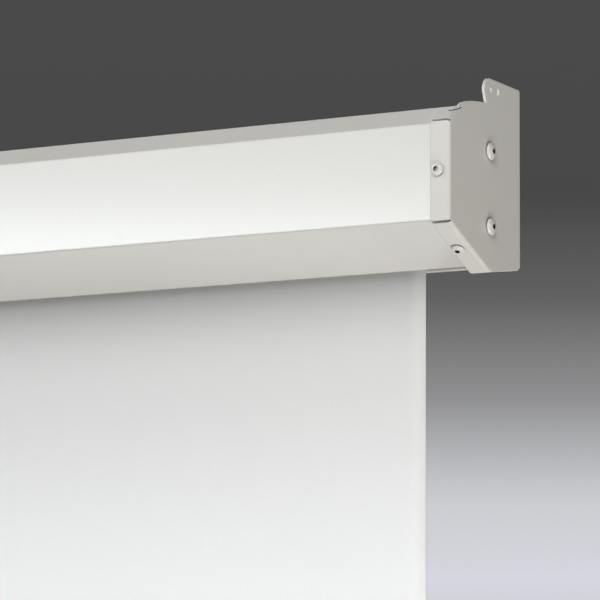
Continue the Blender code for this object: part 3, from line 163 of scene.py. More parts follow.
# Each kind of screw: its head, shank, length, socket and the undercut's height below its head
FLANGE_SCREW = (0.0100, 0.0040, 0.0095, 0.0042, 0.0005)
PLATE_SCREW = (0.0125, 0.0060, 0.0130, 0.0042, 0.0008)

# The thread's pitch, and shares of the shank's radius at its root, below the head and at the tip
THREAD_PITCH = 0.0007
THREAD_ROOT = 0.86
SHANK_SHARE = 0.9
TIP_SHARE = 0.6

# A screw head's shape: shares of its width or height, and the undercut's depth and lip
HEAD_HEIGHT_SHARE = 0.30
HEAD_FULLNESS = 0.9
HEAD_STEPS = 9
RIM_SHARE = 0.12
SOCKET_FLOOR_SHARE = 0.24
UNDERCUT_DEPTH = 0.0020
UNDERCUT_LIP = 0.0005

SIDES = (("right", 1.0), ("left", -1.0))
SHARP_ANGLE = math.radians(38.0)
EASED_ANGLE = math.radians(50.0)
FLAT_ANGLE = math.radians(0.6)
ROUND_SEGMENTS = 48
FULL_TURN = 2.0 * math.pi
SAME_POINT = 2e-6


def spot(side, inset, depth, height):
    """Point on one side of the screen, from its inset, section depth and section height."""
    return Vector((side * (HALF_WIDTH - inset), depth - CAP_DEPTH, height - HANG_HEIGHT))


# Camera, lights, floor and backdrop


def make_camera():
    camera = bpy.data.objects.new("photo_camera", bpy.data.cameras.new("photo_camera"))
    bpy.context.scene.collection.objects.link(camera)
    right = CAMERA_RIGHT.normalized()
    ahead = (CAMERA_AHEAD - right * CAMERA_AHEAD.dot(right)).normalized()
    up = right.cross(ahead)
    turn = Matrix((right, up, -ahead)).transposed()
    camera.matrix_world = Matrix.Translation(CAMERA_PLACE) @ turn.to_4x4()
    camera.data.lens = CAMERA_LENS
    camera.data.clip_end = 100.0
    bpy.context.scene.camera = camera


def soft_light(name, place, aim, size, power, colour=(1.0, 1.0, 1.0), spread=180.0):
    """A large rectangular lamp that the camera doesn't see."""
    lamp = bpy.data.lights.new(name, "AREA")
    lamp.shape = "RECTANGLE"
    lamp.size, lamp.size_y = size
    lamp.energy = power
    lamp.color = colour
    lamp.spread = math.radians(spread)
    holder = bpy.data.objects.new(name, lamp)
    bpy.context.scene.collection.objects.link(holder)
    holder.location = place
    holder.rotation_euler = (Vector(aim) - Vector(place)).to_track_quat("-Z", "Y").to_euler()
    holder.visible_camera = False


def place_round(aim, turn, rise, distance):
    """A lamp's place, from its turn to the right and its rise as seen from an aim."""
    turn, rise = math.radians(turn), math.radians(rise)
    level = math.cos(rise)
    back = Vector((math.sin(turn) * level, -math.cos(turn) * level, math.sin(rise)))
    return aim + back * distance


def make_lights():
    """Softboxes, light from the floor, a wash down the cloth, a sheen strip and a rear lamp."""
    up, ahead = Vector((0.0, 0.0, 1.0)), Vector((0.0, 1.0, 0.0))
    for name, turn, rise, power, colour in SOFTBOXES:
        place = place_round(LAMP_AIM, turn, rise, LAMP_DISTANCE)
        soft_light(name, place, LAMP_AIM, LAMP_SQUARE, power, colour)
    foot = Vector((2.4, -0.9, FLOOR_LAMP_HEIGHT))
    soft_light("floor_bounce", foot, foot + up, (2.4, 2.4), 54.0, (1.0, 0.975, 0.91))
    foot = Vector((-0.2, -0.42, FLOOR_LAMP_HEIGHT))
    soft_light("case_uplight", foot, foot + up, (1.8, 0.36), 1.0, (0.87, 0.96, 1.0), 14.0)
    front = Vector((0.1, -2.6, -1.09))
    soft_light("cloth_wash", front, front + ahead, (2.6, 1.62), 3.9, (0.97, 0.98, 1.0), 6.5)
    face = (-0.2, -0.1, -0.1)
    soft_light("case_sheen", (-1.6, -2.8, 0.36), face, (2.0, 0.08), 8.6, (0.92, 0.98, 1.0))
    rear = (0.2, 0.0, -0.6)
    soft_light("back_soft", (-2.9, 2.7, -0.6), rear, (1.6, 1.2), 38.0, spread=120.0)


def make_backdrop():
    """A plain studio backdrop: faint light from all round, seen as a grey that darkens upwards."""
    world = bpy.data.worlds.new("studio")
    bpy.context.scene.world = world
    world.use_nodes = True
    tree = world.node_tree
    tree.nodes.clear()
    wires = Wiring(tree)
    ahead = wires.node("TexCoord").outputs["Generated"]
    rise = wires.node("SeparateXYZ", {"Vector": ahead}).outputs["Z"]
    ramp = wires.node("ValToRGB", {"Fac": rise})
    shades = ramp.color_ramp.elements
    while len(shades) < len(BACKDROP_SHADES):
        shades.new(0.5)
    for shade, (position, colour) in zip(shades, BACKDROP_SHADES):
        shade.position, shade.color = position, (*colour, 1.0)
    seen = wires.node("Background", {"Color": ramp.outputs["Color"], "Strength": 1.0})
    around = wires.node("Background", {"Color": (1.0, 0.99, 0.97, 1.0), "Strength": 0.02})
    to_camera = wires.node("LightPath").outputs["Is Camera Ray"]
    both = wires.node("MixShader", {"Fac": to_camera, 1: around.outputs[0], 2: seen.outputs[0]})
    wires.node("OutputWorld", {"Surface": both.outputs[0]})


def make_floor():
    bm = bmesh.new()
    bmesh.ops.create_circle(bm, cap_ends=True, radius=FLOOR_RADIUS, segments=96)
    bmesh.ops.translate(bm, vec=(0.0, 0.0, CAD_LOW.z - FLOOR_DROP), verts=bm.verts)
    mesh = bpy.data.meshes.new("floor")
    bm.to_mesh(mesh)
    bm.free()
    floor = bpy.data.objects.new("floor", mesh)
    bpy.context.scene.collection.objects.link(floor)
    mesh.materials.append(pale_floor())


# Materials


class Wiring:
    """Makes and joins the nodes of one material or effect."""

    def __init__(self, tree):
        self.tree = tree

    def node(self, kind, inputs=None, **settings):
        made = self.tree.nodes.new("ShaderNode" + kind)
        for name, value in settings.items():
            setattr(made, name, value)
        for name, value in (inputs or {}).items():
            self.feed(made.inputs[name], value)
        return made

    def feed(self, socket, value):
        if isinstance(value, bpy.types.NodeSocket):
            self.tree.links.new(value, socket)
        else:
            socket.default_value = value

    def math(self, operation, *values):
        made = self.tree.nodes.new("ShaderNodeMath")
        made.operation = operation
        for socket, value in zip(made.inputs, values):
            self.feed(socket, value)
        return made.outputs[0]

    def span(self, value, low, high, to_low=0.0, to_high=1.0):
        """Stretches one range of a value onto another and holds it there."""
        inputs = {
            "Value": value,
            "From Min": low,
            "From Max": high,
            "To Min": to_low,
            "To Max": to_high,
        }
        return self.node("MapRange", inputs).outputs["Result"]

    def blend(self, share, first, second):
        made = self.tree.nodes.new("ShaderNodeMix")
        made.data_type = "RGBA"
        for index, value in ((0, share), (6, first), (7, second)):
            self.feed(made.inputs[index], value)
        return made.outputs[2]

    def grain(self, scale, detail=2.0, vector=None):
        inputs = {"Scale": scale, "Detail": detail}
        inputs["Vector"] = self.place() if vector is None else vector
        return self.node("TexNoise", inputs).outputs["Fac"]

    def place(self):
        return self.node("TexCoord").outputs["Object"]

    def effect(self, tree, **values):
        made = self.tree.nodes.new("ShaderNodeGroup")
        made.node_tree = tree
        for name, value in values.items():
            self.feed(made.inputs[name], value)
        return made.outputs

    def bump(self, height, depth, strength=1.0, normal=None):
        inputs = {"Height": height, "Distance": depth, "Strength": strength}
        if normal:
            inputs["Normal"] = normal
        return self.node("Bump", inputs).outputs["Normal"]


class Effect(Wiring):
    """A reusable group of nodes with named inputs and outputs."""

    def __init__(self, name, inputs, outputs):
        super().__init__(bpy.data.node_groups.new(name, "ShaderNodeTree"))
        interface = self.tree.interface
        for label, value in inputs.items():
            socket = interface.new_socket(label, in_out="INPUT", socket_type="NodeSocketFloat")
            socket.default_value = value
        for label in outputs:
            kind = "NodeSocketVector" if label == "Rounded" else "NodeSocketFloat"
            interface.new_socket(label, in_out="OUTPUT", socket_type=kind)
        self.inputs = self.tree.nodes.new("NodeGroupInput").outputs
        self.outputs = self.tree.nodes.new("NodeGroupOutput").inputs

    def give(self, **results):
        for label, value in results.items():
            self.feed(self.outputs[label], value)
        return self.tree


def paint_skin():
    """Powder paint: a fine orange peel, slow changes of shade and sparse pin specks."""
    skin = Effect("paint_skin", {"Grain": 900.0}, ("Height", "Shade", "Speck"))
    grain = skin.inputs["Grain"]
    peel = skin.grain(grain, 3.0)
    shade = skin.span(skin.grain(5.0, 1.0), 0.15, 0.85)
    speck = skin.span(skin.grain(skin.math("MULTIPLY", grain, 0.55), 1.0), 0.72, 0.80)
    return skin.give(Height=peel, Shade=shade, Speck=speck)


def rubbed_edge():
    """Edge wear and a painted edge highlight, falling to nothing on the flats, and the rounded
    look.
    """
    edge = Effect("rubbed_edge", {"Reach": 0.0006}, ("Edge", "Rounded"))
    rounded = edge.node("Bevel", {"Radius": edge.inputs["Reach"]}, samples=6).outputs["Normal"]
    flat = edge.node("NewGeometry").outputs["Normal"]
    both = {0: rounded, 1: flat}
    turned = edge.node("VectorMath", both, operation="DOT_PRODUCT").outputs["Value"]
    turning = edge.span(turned, 0.999, 0.90)
    wear_and_highlight = edge.math("MULTIPLY", turning, edge.span(edge.grain(160.0), 0.15, 0.45))
    return edge.give(Edge=wear_and_highlight, Rounded=rounded)


def settled_dust():
    """A mask on faces that look up, thicker in soft patches: a settled dusting, and painted shade
    on the sheet.
    """
    dust_and_shade = Effect("settled_dust", {"Amount": 0.5}, ("Dust",))
    normal = dust_and_shade.node("NewGeometry").outputs["Normal"]
    rise = dust_and_shade.node("SeparateXYZ", {"Vector": normal}).outputs["Z"]
    patch = dust_and_shade.span(dust_and_shade.grain(24.0, 6.0), 0.20, 0.80, 0.70, 1.0)
    lying = dust_and_shade.math("MULTIPLY", dust_and_shade.span(rise, 0.20, 0.60), patch)
    return dust_and_shade.give(Dust=dust_and_shade.math("MULTIPLY", lying, dust_and_shade.inputs["Amount"]))


def plain_weave():
    """A plain weave: threads that pass over and under each other, with uneven yarn."""
    weave = Effect("plain_weave", {"Pitch": 0.0007}, ("Height", "Yarn"))
    place = weave.node("SeparateXYZ", {"Vector": weave.place()})
    turn = weave.math("DIVIDE", math.pi, weave.inputs["Pitch"])
    across = weave.math("SINE", weave.math("MULTIPLY", place.outputs["X"], turn))
    along = weave.math("SINE", weave.math("MULTIPLY", place.outputs["Z"], turn))
    crossing = weave.math("MULTIPLY", across, along)
    drawn_out = weave.math("MULTIPLY", place.outputs["Z"], 0.04)
    yarn = weave.node("CombineXYZ", {"X": place.outputs["X"], "Y": drawn_out})
    uneven = weave.grain(500.0, 2.0, yarn.outputs[0])
    height = weave.math("ADD", weave.math("MULTIPLY", crossing, 0.5), uneven)
    return weave.give(Height=height, Yarn=uneven)


def zinc_bloom():
    """The crystal patches of zinc plate and its fine tooth."""
    bloom = Effect("zinc_bloom", {"Patch": 0.007}, ("Shade", "Height"))
    scale = bloom.math("DIVIDE", 1.0, bloom.inputs["Patch"])
    cells = bloom.node("TexVoronoi", {"Vector": bloom.place(), "Scale": scale})
    shade = bloom.node("SeparateColor", {"Color": cells.outputs["Color"]}).outputs["Red"]
    return bloom.give(Shade=shade, Height=bloom.grain(1500.0, 2.0))


def draw_marks():
    """Fine marks along X, as drawn tube and turned stock have."""
    marks = Effect("draw_marks", {"Grain": 900.0}, ("Height", "Shade"))
    along_x = {"Vector": marks.place(), "Scale": (0.03, 1.0, 1.0)}
    stretched = marks.node("Mapping", along_x).outputs[0]
    fine = marks.grain(marks.inputs["Grain"], 3.0, stretched)
    return marks.give(Height=fine, Shade=marks.span(marks.grain(60.0, 2.0, stretched), 0.3, 0.7))


def moulded_skin():
    """The fine spark texture and slow flow marks of moulded plastic."""
    skin = Effect("moulded_skin", {"Grain": 1400.0}, ("Height", "Shade"))
    height = skin.grain(skin.inputs["Grain"], 1.0)
    return skin.give(Height=height, Shade=skin.span(skin.grain(40.0), 0.3, 0.7))


PAINT_SKIN = paint_skin()
EDGE_WEAR_AND_HIGHLIGHT = rubbed_edge()
DUST_AND_TOP_SHADE = settled_dust()
PLAIN_WEAVE = plain_weave()
ZINC_BLOOM = zinc_bloom()
DRAW_MARKS = draw_marks()
MOULDED_SKIN = moulded_skin()


def new_material(name, **fixed):
    """A material and its shader, with the values that are the same all over."""
    made = bpy.data.materials.new(name)
    made.use_nodes = True
    shader = made.node_tree.nodes["Principled BSDF"]
    for label, value in fixed.items():
        shader.inputs[label.replace("_", " ")].default_value = value
    return made, Wiring(made.node_tree), shader.inputs


def rgb(red, green, blue):
    return (red, green, blue, 1.0)


def sheet_paint(name, white, low_gloss, high_gloss, coat, dust_and_shade_amount):
    """Warm white paint on folded sheet: satin on the case, and drier on the end caps."""
    made, wires, shader = new_material(name, Coat_Roughness=0.15, Coat_IOR=1.6)
    skin = wires.effect(PAINT_SKIN, Grain=850.0)
    edge = wires.effect(EDGE_WEAR_AND_HIGHLIGHT, Reach=0.0013)
    dust_and_shade = wires.effect(DUST_AND_TOP_SHADE, Amount=dust_and_shade_amount)["Dust"]
    dull = rgb(white, 0.983 * white, 0.943 * white)
    fresh = rgb(1.02 * white, 1.004 * white, 0.965 * white)
    paint = wires.blend(skin["Shade"], dull, fresh)
    specked = wires.blend(wires.math("MULTIPLY", skin["Speck"], 0.35), paint, rgb(0.55, 0.54, 0.51))
    # A settled dusting and painted shade: faces that look up, the chamfers among them, turn grey.
    dusted_and_shaded = wires.blend(dust_and_shade, specked, rgb(0.60, 0.585, 0.55))
    # Painted highlight: cut edges are lightened towards near white, as if they caught the light.
    wires.feed(shader["Base Color"], wires.blend(edge["Edge"], dusted_and_shaded, rgb(0.97, 0.96, 0.94)))
    gloss = wires.span(skin["Shade"], 0.0, 1.0, low_gloss, high_gloss)
    wires.feed(shader["Roughness"], wires.math("ADD", gloss, wires.math("MULTIPLY", dust_and_shade, 0.5)))
    if coat:
        wires.feed(shader["Coat Weight"], wires.span(dust_and_shade, 0.0, 0.25, coat, 0.0))
    wires.feed(shader["Normal"], wires.bump(skin["Height"], 0.00006, normal=edge["Rounded"]))
    return made


def screw_paint():
    """Smoother, glossier white paint on the screw heads."""
    made, wires, shader = new_material("white_screw_paint", Specular_IOR_Level=0.5)
    skin = wires.effect(PAINT_SKIN, Grain=1500.0)
    edge = wires.effect(EDGE_WEAR_AND_HIGHLIGHT, Reach=0.0004)["Edge"]
    paint = wires.blend(skin["Shade"], rgb(0.83, 0.82, 0.79), rgb(0.86, 0.85, 0.82))
    wear_and_highlight = wires.math("MULTIPLY", edge, 0.5)
    wires.feed(shader["Base Color"], wires.blend(wear_and_highlight, paint, rgb(0.66, 0.65, 0.63)))
    wires.feed(shader["Roughness"], wires.span(skin["Height"], 0.3, 0.7, 0.16, 0.24))
    wires.feed(shader["Normal"], wires.bump(skin["Height"], 0.00003))
    return made


def recess_shadow():
    """Near-black unpainted metal on a screw's socket walls and under its head: painted shade."""
    made, wires, shader = new_material("recess_painted_shade", Metallic=0.6)
    skin = wires.effect(PAINT_SKIN, Grain=2500.0)
    # Painted shade: far darker than bare metal, where the socket and the crevice under the head lie
    # in shade.
    steel_and_shade = wires.blend(skin["Shade"], rgb(0.012, 0.012, 0.012), rgb(0.035, 0.034, 0.032))
    wires.feed(shader["Base Color"], steel_and_shade)
    wires.feed(shader["Roughness"], wires.span(skin["Height"], 0.3, 0.7, 0.45, 0.65))
    wires.feed(shader["Normal"], wires.bump(skin["Height"], 0.00004))
    return made


def zinc_plate():
    made, wires, shader = new_material("zinc_plated_sheet", Metallic=1.0)
    bloom = wires.effect(ZINC_BLOOM, Patch=0.006)
    edge = wires.effect(EDGE_WEAR_AND_HIGHLIGHT, Reach=0.0005)["Edge"]
    zinc = wires.blend(bloom["Shade"], rgb(0.50, 0.51, 0.53), rgb(0.63, 0.64, 0.65))
    wires.feed(shader["Base Color"], wires.blend(edge, zinc, rgb(0.74, 0.74, 0.73)))
    wires.feed(shader["Roughness"], wires.span(bloom["Shade"], 0.0, 1.0, 0.30, 0.46))
    wires.feed(shader["Normal"], wires.bump(bloom["Height"], 0.00003))
    return made


def bright_steel():
    made, wires, shader = new_material("drawn_steel", Metallic=1.0)
    marks = wires.effect(DRAW_MARKS, Grain=1200.0)
    edge = wires.effect(EDGE_WEAR_AND_HIGHLIGHT, Reach=0.0003)["Edge"]
    steel_and_shade = wires.blend(marks["Shade"], rgb(0.48, 0.48, 0.49), rgb(0.60, 0.60, 0.61))
    wires.feed(shader["Base Color"], wires.blend(edge, steel_and_shade, rgb(0.74, 0.74, 0.74)))
    wires.feed(shader["Roughness"], wires.span(marks["Height"], 0.3, 0.7, 0.22, 0.38))
    wires.feed(shader["Normal"], wires.bump(marks["Height"], 0.00002))
    return made


def cast_aluminium():
    made, wires, shader = new_material("cast_aluminium_skin", Metallic=1.0)
    skin = wires.effect(MOULDED_SKIN, Grain=700.0)
    metal = wires.blend(skin["Shade"], rgb(0.58, 0.59, 0.60), rgb(0.70, 0.70, 0.71))
    wires.feed(shader["Base Color"], metal)
    wires.feed(shader["Roughness"], wires.span(skin["Height"], 0.3, 0.7, 0.40, 0.55))
    wires.feed(shader["Normal"], wires.bump(skin["Height"], 0.00008))
    return made


def brass():
    made, wires, shader = new_material("turned_brass", Metallic=1.0)
    marks = wires.effect(DRAW_MARKS, Grain=1500.0)
    edge = wires.effect(EDGE_WEAR_AND_HIGHLIGHT, Reach=0.0003)["Edge"]
    metal = wires.blend(marks["Shade"], rgb(0.62, 0.45, 0.19), rgb(0.74, 0.56, 0.27))
    wires.feed(shader["Base Color"], wires.blend(edge, metal, rgb(0.84, 0.68, 0.40)))
    wires.feed(shader["Roughness"], wires.span(marks["Height"], 0.3, 0.7, 0.24, 0.40))
    wires.feed(shader["Normal"], wires.bump(marks["Height"], 0.00002))
    return made


def plastic(name, dark, light, low_gloss, high_gloss, grain):
    """A moulded plastic in two near shades, with its spark texture."""
    made, wires, shader = new_material(name, Specular_IOR_Level=0.45)
    skin = wires.effect(MOULDED_SKIN, Grain=grain)
    edge = wires.effect(EDGE_WEAR_AND_HIGHLIGHT, Reach=0.0004)["Edge"]
    colour = wires.blend(skin["Shade"], rgb(*dark), rgb(*light))
    lifted = wires.blend(0.5, colour, rgb(*[min(1.0, 1.4 * part + 0.02) for part in light]))
    wires.feed(shader["Base Color"], wires.blend(edge, colour, lifted))
    wires.feed(shader["Roughness"], wires.span(skin["Shade"], 0.0, 1.0, low_gloss, high_gloss))
    wires.feed(shader["Normal"], wires.bump(skin["Height"], 0.00004))
    return made


def screen_front():
    """The matte white viewing side: an even, cool white coat over a fine weave."""
    made, wires, shader = new_material("screen_white_front", Specular_IOR_Level=0.22)
    weave = wires.effect(PLAIN_WEAVE, Pitch=0.00055)
    coat = wires.span(wires.grain(3.0, 3.0), 0.35, 0.65)
    white = wires.blend(coat, rgb(0.858, 0.866, 0.872), rgb(0.870, 0.876, 0.880))
    yarn = wires.math("MULTIPLY", wires.span(weave["Yarn"], 0.35, 0.65), 0.10)
    wires.feed(shader["Base Color"], wires.blend(yarn, white, rgb(0.80, 0.81, 0.82)))
    wires.feed(shader["Roughness"], wires.span(weave["Yarn"], 0.3, 0.7, 0.84, 0.94))
    wires.feed(shader["Normal"], wires.bump(weave["Height"], 0.00003, 0.35))
    return made


def screen_back():
    """The bare weave of the screen's back, a duller grey white."""
    made, wires, shader = new_material("screen_weave_back", Specular_IOR_Level=0.25)
    weave = wires.effect(PLAIN_WEAVE, Pitch=0.0008)
    cloudy = wires.span(wires.grain(5.0, 4.0), 0.3, 0.7)
    cloth = wires.blend(cloudy, rgb(0.680, 0.685, 0.690), rgb(0.700, 0.705, 0.710))
    yarn = wires.math("MULTIPLY", wires.span(weave["Yarn"], 0.3, 0.7), 0.35)
    wires.feed(shader["Base Color"], wires.blend(yarn, cloth, rgb(0.57, 0.575, 0.58)))
    wires.feed(shader["Roughness"], wires.span(weave["Yarn"], 0.3, 0.7, 0.82, 0.95))
    wires.feed(shader["Normal"], wires.bump(weave["Height"], 0.00008, 0.6))
    return made


def hem_cloth():
    """The hem's cloth, pressed in fine ribs where its two layers are welded."""
    made, wires, shader = new_material("welded_hem_cloth", Specular_IOR_Level=0.25)
    weave = wires.effect(PLAIN_WEAVE, Pitch=0.00055)
    place = wires.node("SeparateXYZ", {"Vector": wires.place()})
    weld_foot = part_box("batten_hem")[1].z - WELD_HEIGHT
    band = wires.span(place.outputs["Z"], weld_foot, weld_foot + 0.001)
    along = wires.math("MULTIPLY", place.outputs["Z"], FULL_TURN / WELD_RIB_PITCH)
    ribs = wires.math("SINE", along)
    pressed = wires.math("MULTIPLY", wires.math("MULTIPLY", ribs, band), 2.0)
    height = wires.math("ADD", weave["Height"], pressed)
    soiled = wires.span(wires.grain(30.0, 4.0), 0.45, 0.75, 0.0, 0.25)
    white = wires.blend(soiled, rgb(0.862, 0.868, 0.874), rgb(0.79, 0.79, 0.78))
    smoothed = wires.math("MULTIPLY", band, 0.3)
    wires.feed(shader["Base Color"], wires.blend(smoothed, white, rgb(0.82, 0.825, 0.83)))
    wires.feed(shader["Roughness"], wires.span(band, 0.0, 1.0, 0.88, 0.62))
    wires.feed(shader["Normal"], wires.bump(height, 0.00004, 0.6))
    return made


def cable_jacket():
    """Black rubber with a fine moulded skin and a little dust on top."""
    made, wires, shader = new_material("cable_rubber", Specular_IOR_Level=0.4)
    skin = wires.effect(MOULDED_SKIN, Grain=1800.0)
    dust_and_shade = wires.effect(DUST_AND_TOP_SHADE, Amount=0.4)["Dust"]
    rubber = wires.blend(skin["Shade"], rgb(0.018, 0.018, 0.019), rgb(0.034, 0.034, 0.035))
    wires.feed(shader["Base Color"], wires.blend(dust_and_shade, rubber, rgb(0.16, 0.155, 0.15)))
    wires.feed(shader["Roughness"], wires.span(skin["Height"], 0.3, 0.7, 0.48, 0.62))
    wires.feed(shader["Normal"], wires.bump(skin["Height"], 0.00005))
    return made


def pale_floor():
    """A pale floor with a soft glow of its own for the camera, seen from above only."""
    made, wires, shader = new_material("pale_floor", Roughness=0.85, Emission_Strength=1.0)
    soft = wires.blend(wires.grain(1.5, 3.0), rgb(0.665, 0.665, 0.660), rgb(0.700, 0.700, 0.695))
    wires.feed(shader["Base Color"], soft)
    to_camera = wires.node("LightPath").outputs["Is Camera Ray"]
    wires.feed(shader["Emission Color"], wires.blend(to_camera, rgb(0.0, 0.0, 0.0), FLOOR_GLOW))
    made.cycles.emission_sampling = "NONE"
    behind = wires.node("NewGeometry").outputs["Backfacing"]
    clear = wires.node("BsdfTransparent").outputs[0]
    solid = made.node_tree.nodes["Principled BSDF"].outputs[0]
    shown = wires.node("MixShader", {"Fac": behind, 1: solid, 2: clear}).outputs[0]
    wires.feed(made.node_tree.nodes["Material Output"].inputs["Surface"], shown)
    return made


# Shapes


def place_piece(name, bm, material, body, nodes):
    """Makes a piece of a bmesh, shades it, and lets it ride in place of its nodes."""
    mesh = bpy.data.meshes.new(name)
    bm.to_mesh(mesh)
    bm.free()
    mesh.shade_smooth()
    mesh.set_sharp_from_angle(angle=SHARP_ANGLE)
    mesh.materials.append(material)
    piece = bpy.data.objects.new(name, mesh)
    bpy.context.scene.collection.objects.link(piece)
    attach(piece, body)
    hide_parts(*nodes)
    return piece


def even_normals(piece):
    """Keeps flat faces flat beside their rounded edges."""
    weighted = piece.modifiers.new("even_normals", "WEIGHTED_NORMAL")
    weighted.keep_sharp = True
    weighted.weight = 100


def merged_copy(node):
    """A node's solid as one joined mesh, with its flat faces whole."""
    bm = bmesh.new()
    bm.from_mesh(frame["nodes"][node].data)
    bmesh.ops.remove_doubles(bm, verts=bm.verts, dist=SAME_POINT)
    bmesh.ops.dissolve_limit(bm, angle_limit=FLAT_ANGLE, verts=bm.verts, edges=bm.edges)
    return bm


def ease_edges(bm, width):
    """Rounds every cut edge, up to a width or as far as its shortest neighbour lets it."""
    closed = [edge for edge in bm.edges if edge.is_manifold]
    cut = [edge for edge in closed if edge.calc_face_angle(0.0) > EASED_ANGLE]
    bmesh.ops.bevel(
        bm,
        geom=cut,
        offset=width,
        offset_type="OFFSET",
        affect="EDGES",
        segments=2,
        profile=0.5,
        material=-1,
        clamp_overlap=True,
    )


def dressed_node(node, material, width):
    """A node's own shape with its cut edges eased, in the node's place."""
    bm = merged_copy(node)
    ease_edges(bm, width)
    even_normals(place_piece(node + "_finished", bm, material, BODY_OF[node], [node]))


def spun(profile, segments):
    """A body turned about X from (x, radius) points."""
    bm = bmesh.new()
    points = [bm.verts.new((x, 0.0, radius)) for x, radius in profile]
    edges = [bm.edges.new(pair) for pair in zip(points, points[1:])]
    bmesh.ops.spin(
        bm,
        geom=points + edges,
        cent=(0.0, 0.0, 0.0),
        axis=(1.0, 0.0, 0.0),
        angle=FULL_TURN,
        steps=segments,
        use_merge=True,
    )
    bmesh.ops.remove_doubles(bm, verts=bm.verts, dist=SAME_POINT)
    bmesh.ops.recalc_face_normals(bm, faces=bm.faces)
    return bm


def turned_to(place, facing):
    """The move that stands a piece made along X on a place, looking along a direction."""
    turn = Vector((1.0, 0.0, 0.0)).rotation_difference(Vector(facing))
    return Matrix.Translation(place) @ turn.to_matrix().to_4x4()


def carved(bm, tool):
    """One bmesh less another, as a new bmesh."""
    shapes = []
    for source in (bm, tool):
        mesh = bpy.data.meshes.new("carving")
        source.to_mesh(mesh)
        source.free()
        shapes.append(bpy.data.objects.new("carving", mesh))
        bpy.context.scene.collection.objects.link(shapes[-1])
    cutting = shapes[0].modifiers.new("cut", "BOOLEAN")
    cutting.object = shapes[1]
    cutting.use_self = True
    cutting.material_mode = "TRANSFER"
    shapes[0].data.materials.append(SCREW_PAINT)
    # The socket's walls take the near-black recess material: painted shade.
    shapes[1].data.materials.append(RECESS)
    result = bmesh.new()
    result.from_object(shapes[0], bpy.context.evaluated_depsgraph_get())
    for shape in shapes:
        bpy.data.meshes.remove(shape.data)
    return result


# Screws


def thread_profile(length, radius):
    """Shank with a rolled thread, from its tip to the seat under the head."""
    profile = [(-length, 0.0), (-length, TIP_SHARE * radius)]
    x = -length + THREAD_PITCH
    while x < -2.0 * THREAD_PITCH:
        profile += [(x, THREAD_ROOT * radius), (x + THREAD_PITCH / 2, radius)]
        x += THREAD_PITCH
    return profile + [(-THREAD_PITCH, SHANK_SHARE * radius), (0.0, SHANK_SHARE * radius)]


def socket_tool(across, floor, top, turn):
    """The six-sided hole that a key fits."""
    bm = bmesh.new()
    bmesh.ops.create_cone(
        bm, cap_ends=True, segments=6, radius1=across / 2, radius2=0.52 * across, depth=top - floor
    )
    bmesh.ops.translate(bm, vec=(0.0, 0.0, (top + floor) / 2), verts=bm.verts)
    stand = Matrix.Rotation(turn, 4, "X") @ Matrix.Rotation(math.pi / 2, 4, "Y")
    bm.transform(stand)
    return bm


def screw_body(head, shank, length, across, lift, turn):
    """A domed screw seated at X = 0 and looking along X, with a socket whose floor holds paint."""
    edge = head / 2
    height = HEAD_HEIGHT_SHARE * head
    floor = SOCKET_FLOOR_SHARE * height
    rim = RIM_SHARE * height + lift
    profile = thread_profile(length, shank / 2)
    profile += [(0.0, edge - UNDERCUT_DEPTH), (0.8 * lift, edge - UNDERCUT_LIP), (lift, edge)]
    for step in range(HEAD_STEPS):
        angle = math.pi / 2 * step / HEAD_STEPS
        radius = edge * math.cos(angle) ** HEAD_FULLNESS
        profile.append((rim + (height - rim) * math.sin(angle), radius))
    profile.append((height, 0.0))
    tool = socket_tool(across, floor, 1.6 * height, turn)
    bm = carved(spun(profile, ROUND_SEGMENTS), tool)
    # The socket's floor keeps the paint; the underside of the head takes the painted shade.
    for face in bm.faces:
        place = face.calc_center_median().x
        if abs(place - floor) < SAME_POINT and face.normal.x > 0.9:
            face.material_index = 0
        if -SAME_POINT < place < lift and face.normal.x < -0.1:
            face.material_index = 1
    return bm


def make_screw(node, place, facing, sizes, turn):
    """A screw in its node's place, with its socket turned by an angle of its own."""
    bm = screw_body(*sizes, turn)
    bm.transform(turned_to(place, facing))
    piece = place_piece(node + "_finished", bm, SCREW_PAINT, "case", [node])
    piece.data.materials.append(RECESS)


def make_screws():
    outward = Vector((0.0, -math.sin(LOWER_FACE_ANGLE), -math.cos(LOWER_FACE_ANGLE)))
    for label, side in SIDES:
        place = spot(side, FLANGE_SCREW_INSET, -CLEARANCE, FRONT_SCREW_HEIGHT)
        make_screw(label + "_front_screw", place, (0.0, -1.0, 0.0), FLANGE_SCREW, 0.25)
        depth = LOWER_SCREW_ALONG * math.cos(LOWER_FACE_ANGLE)
        height = -LOWER_SCREW_ALONG * math.sin(LOWER_FACE_ANGLE)
        place = spot(side, FLANGE_SCREW_INSET, depth, height) + outward * CLEARANCE
        make_screw(label + "_lower_screw", place, outward, FLANGE_SCREW, 0.80)
        for turn, (name, height) in enumerate(PLATE_SCREW_HEIGHTS.items()):
            place = spot(side, -CLEARANCE, PLATE_SCREW_DEPTH, height)
            node = f"{label}_bracket_{name}_screw"
            make_screw(node, place, (side, 0.0, 0.0), PLATE_SCREW, 0.4 + turn)


# Fabric and batten


def wave(x, z, low, high):
    """How far the hanging cloth stands off its plane: nothing at the roller and the batten."""
    share = (z - low) / (high - low)
    held = math.sin(math.pi * min(1.0, max(0.0, share))) ** 1.5
    return held * WAVE_DEPTH * noise.noise(Vector((2.2 * x, 1.1 * z, 4.0)))


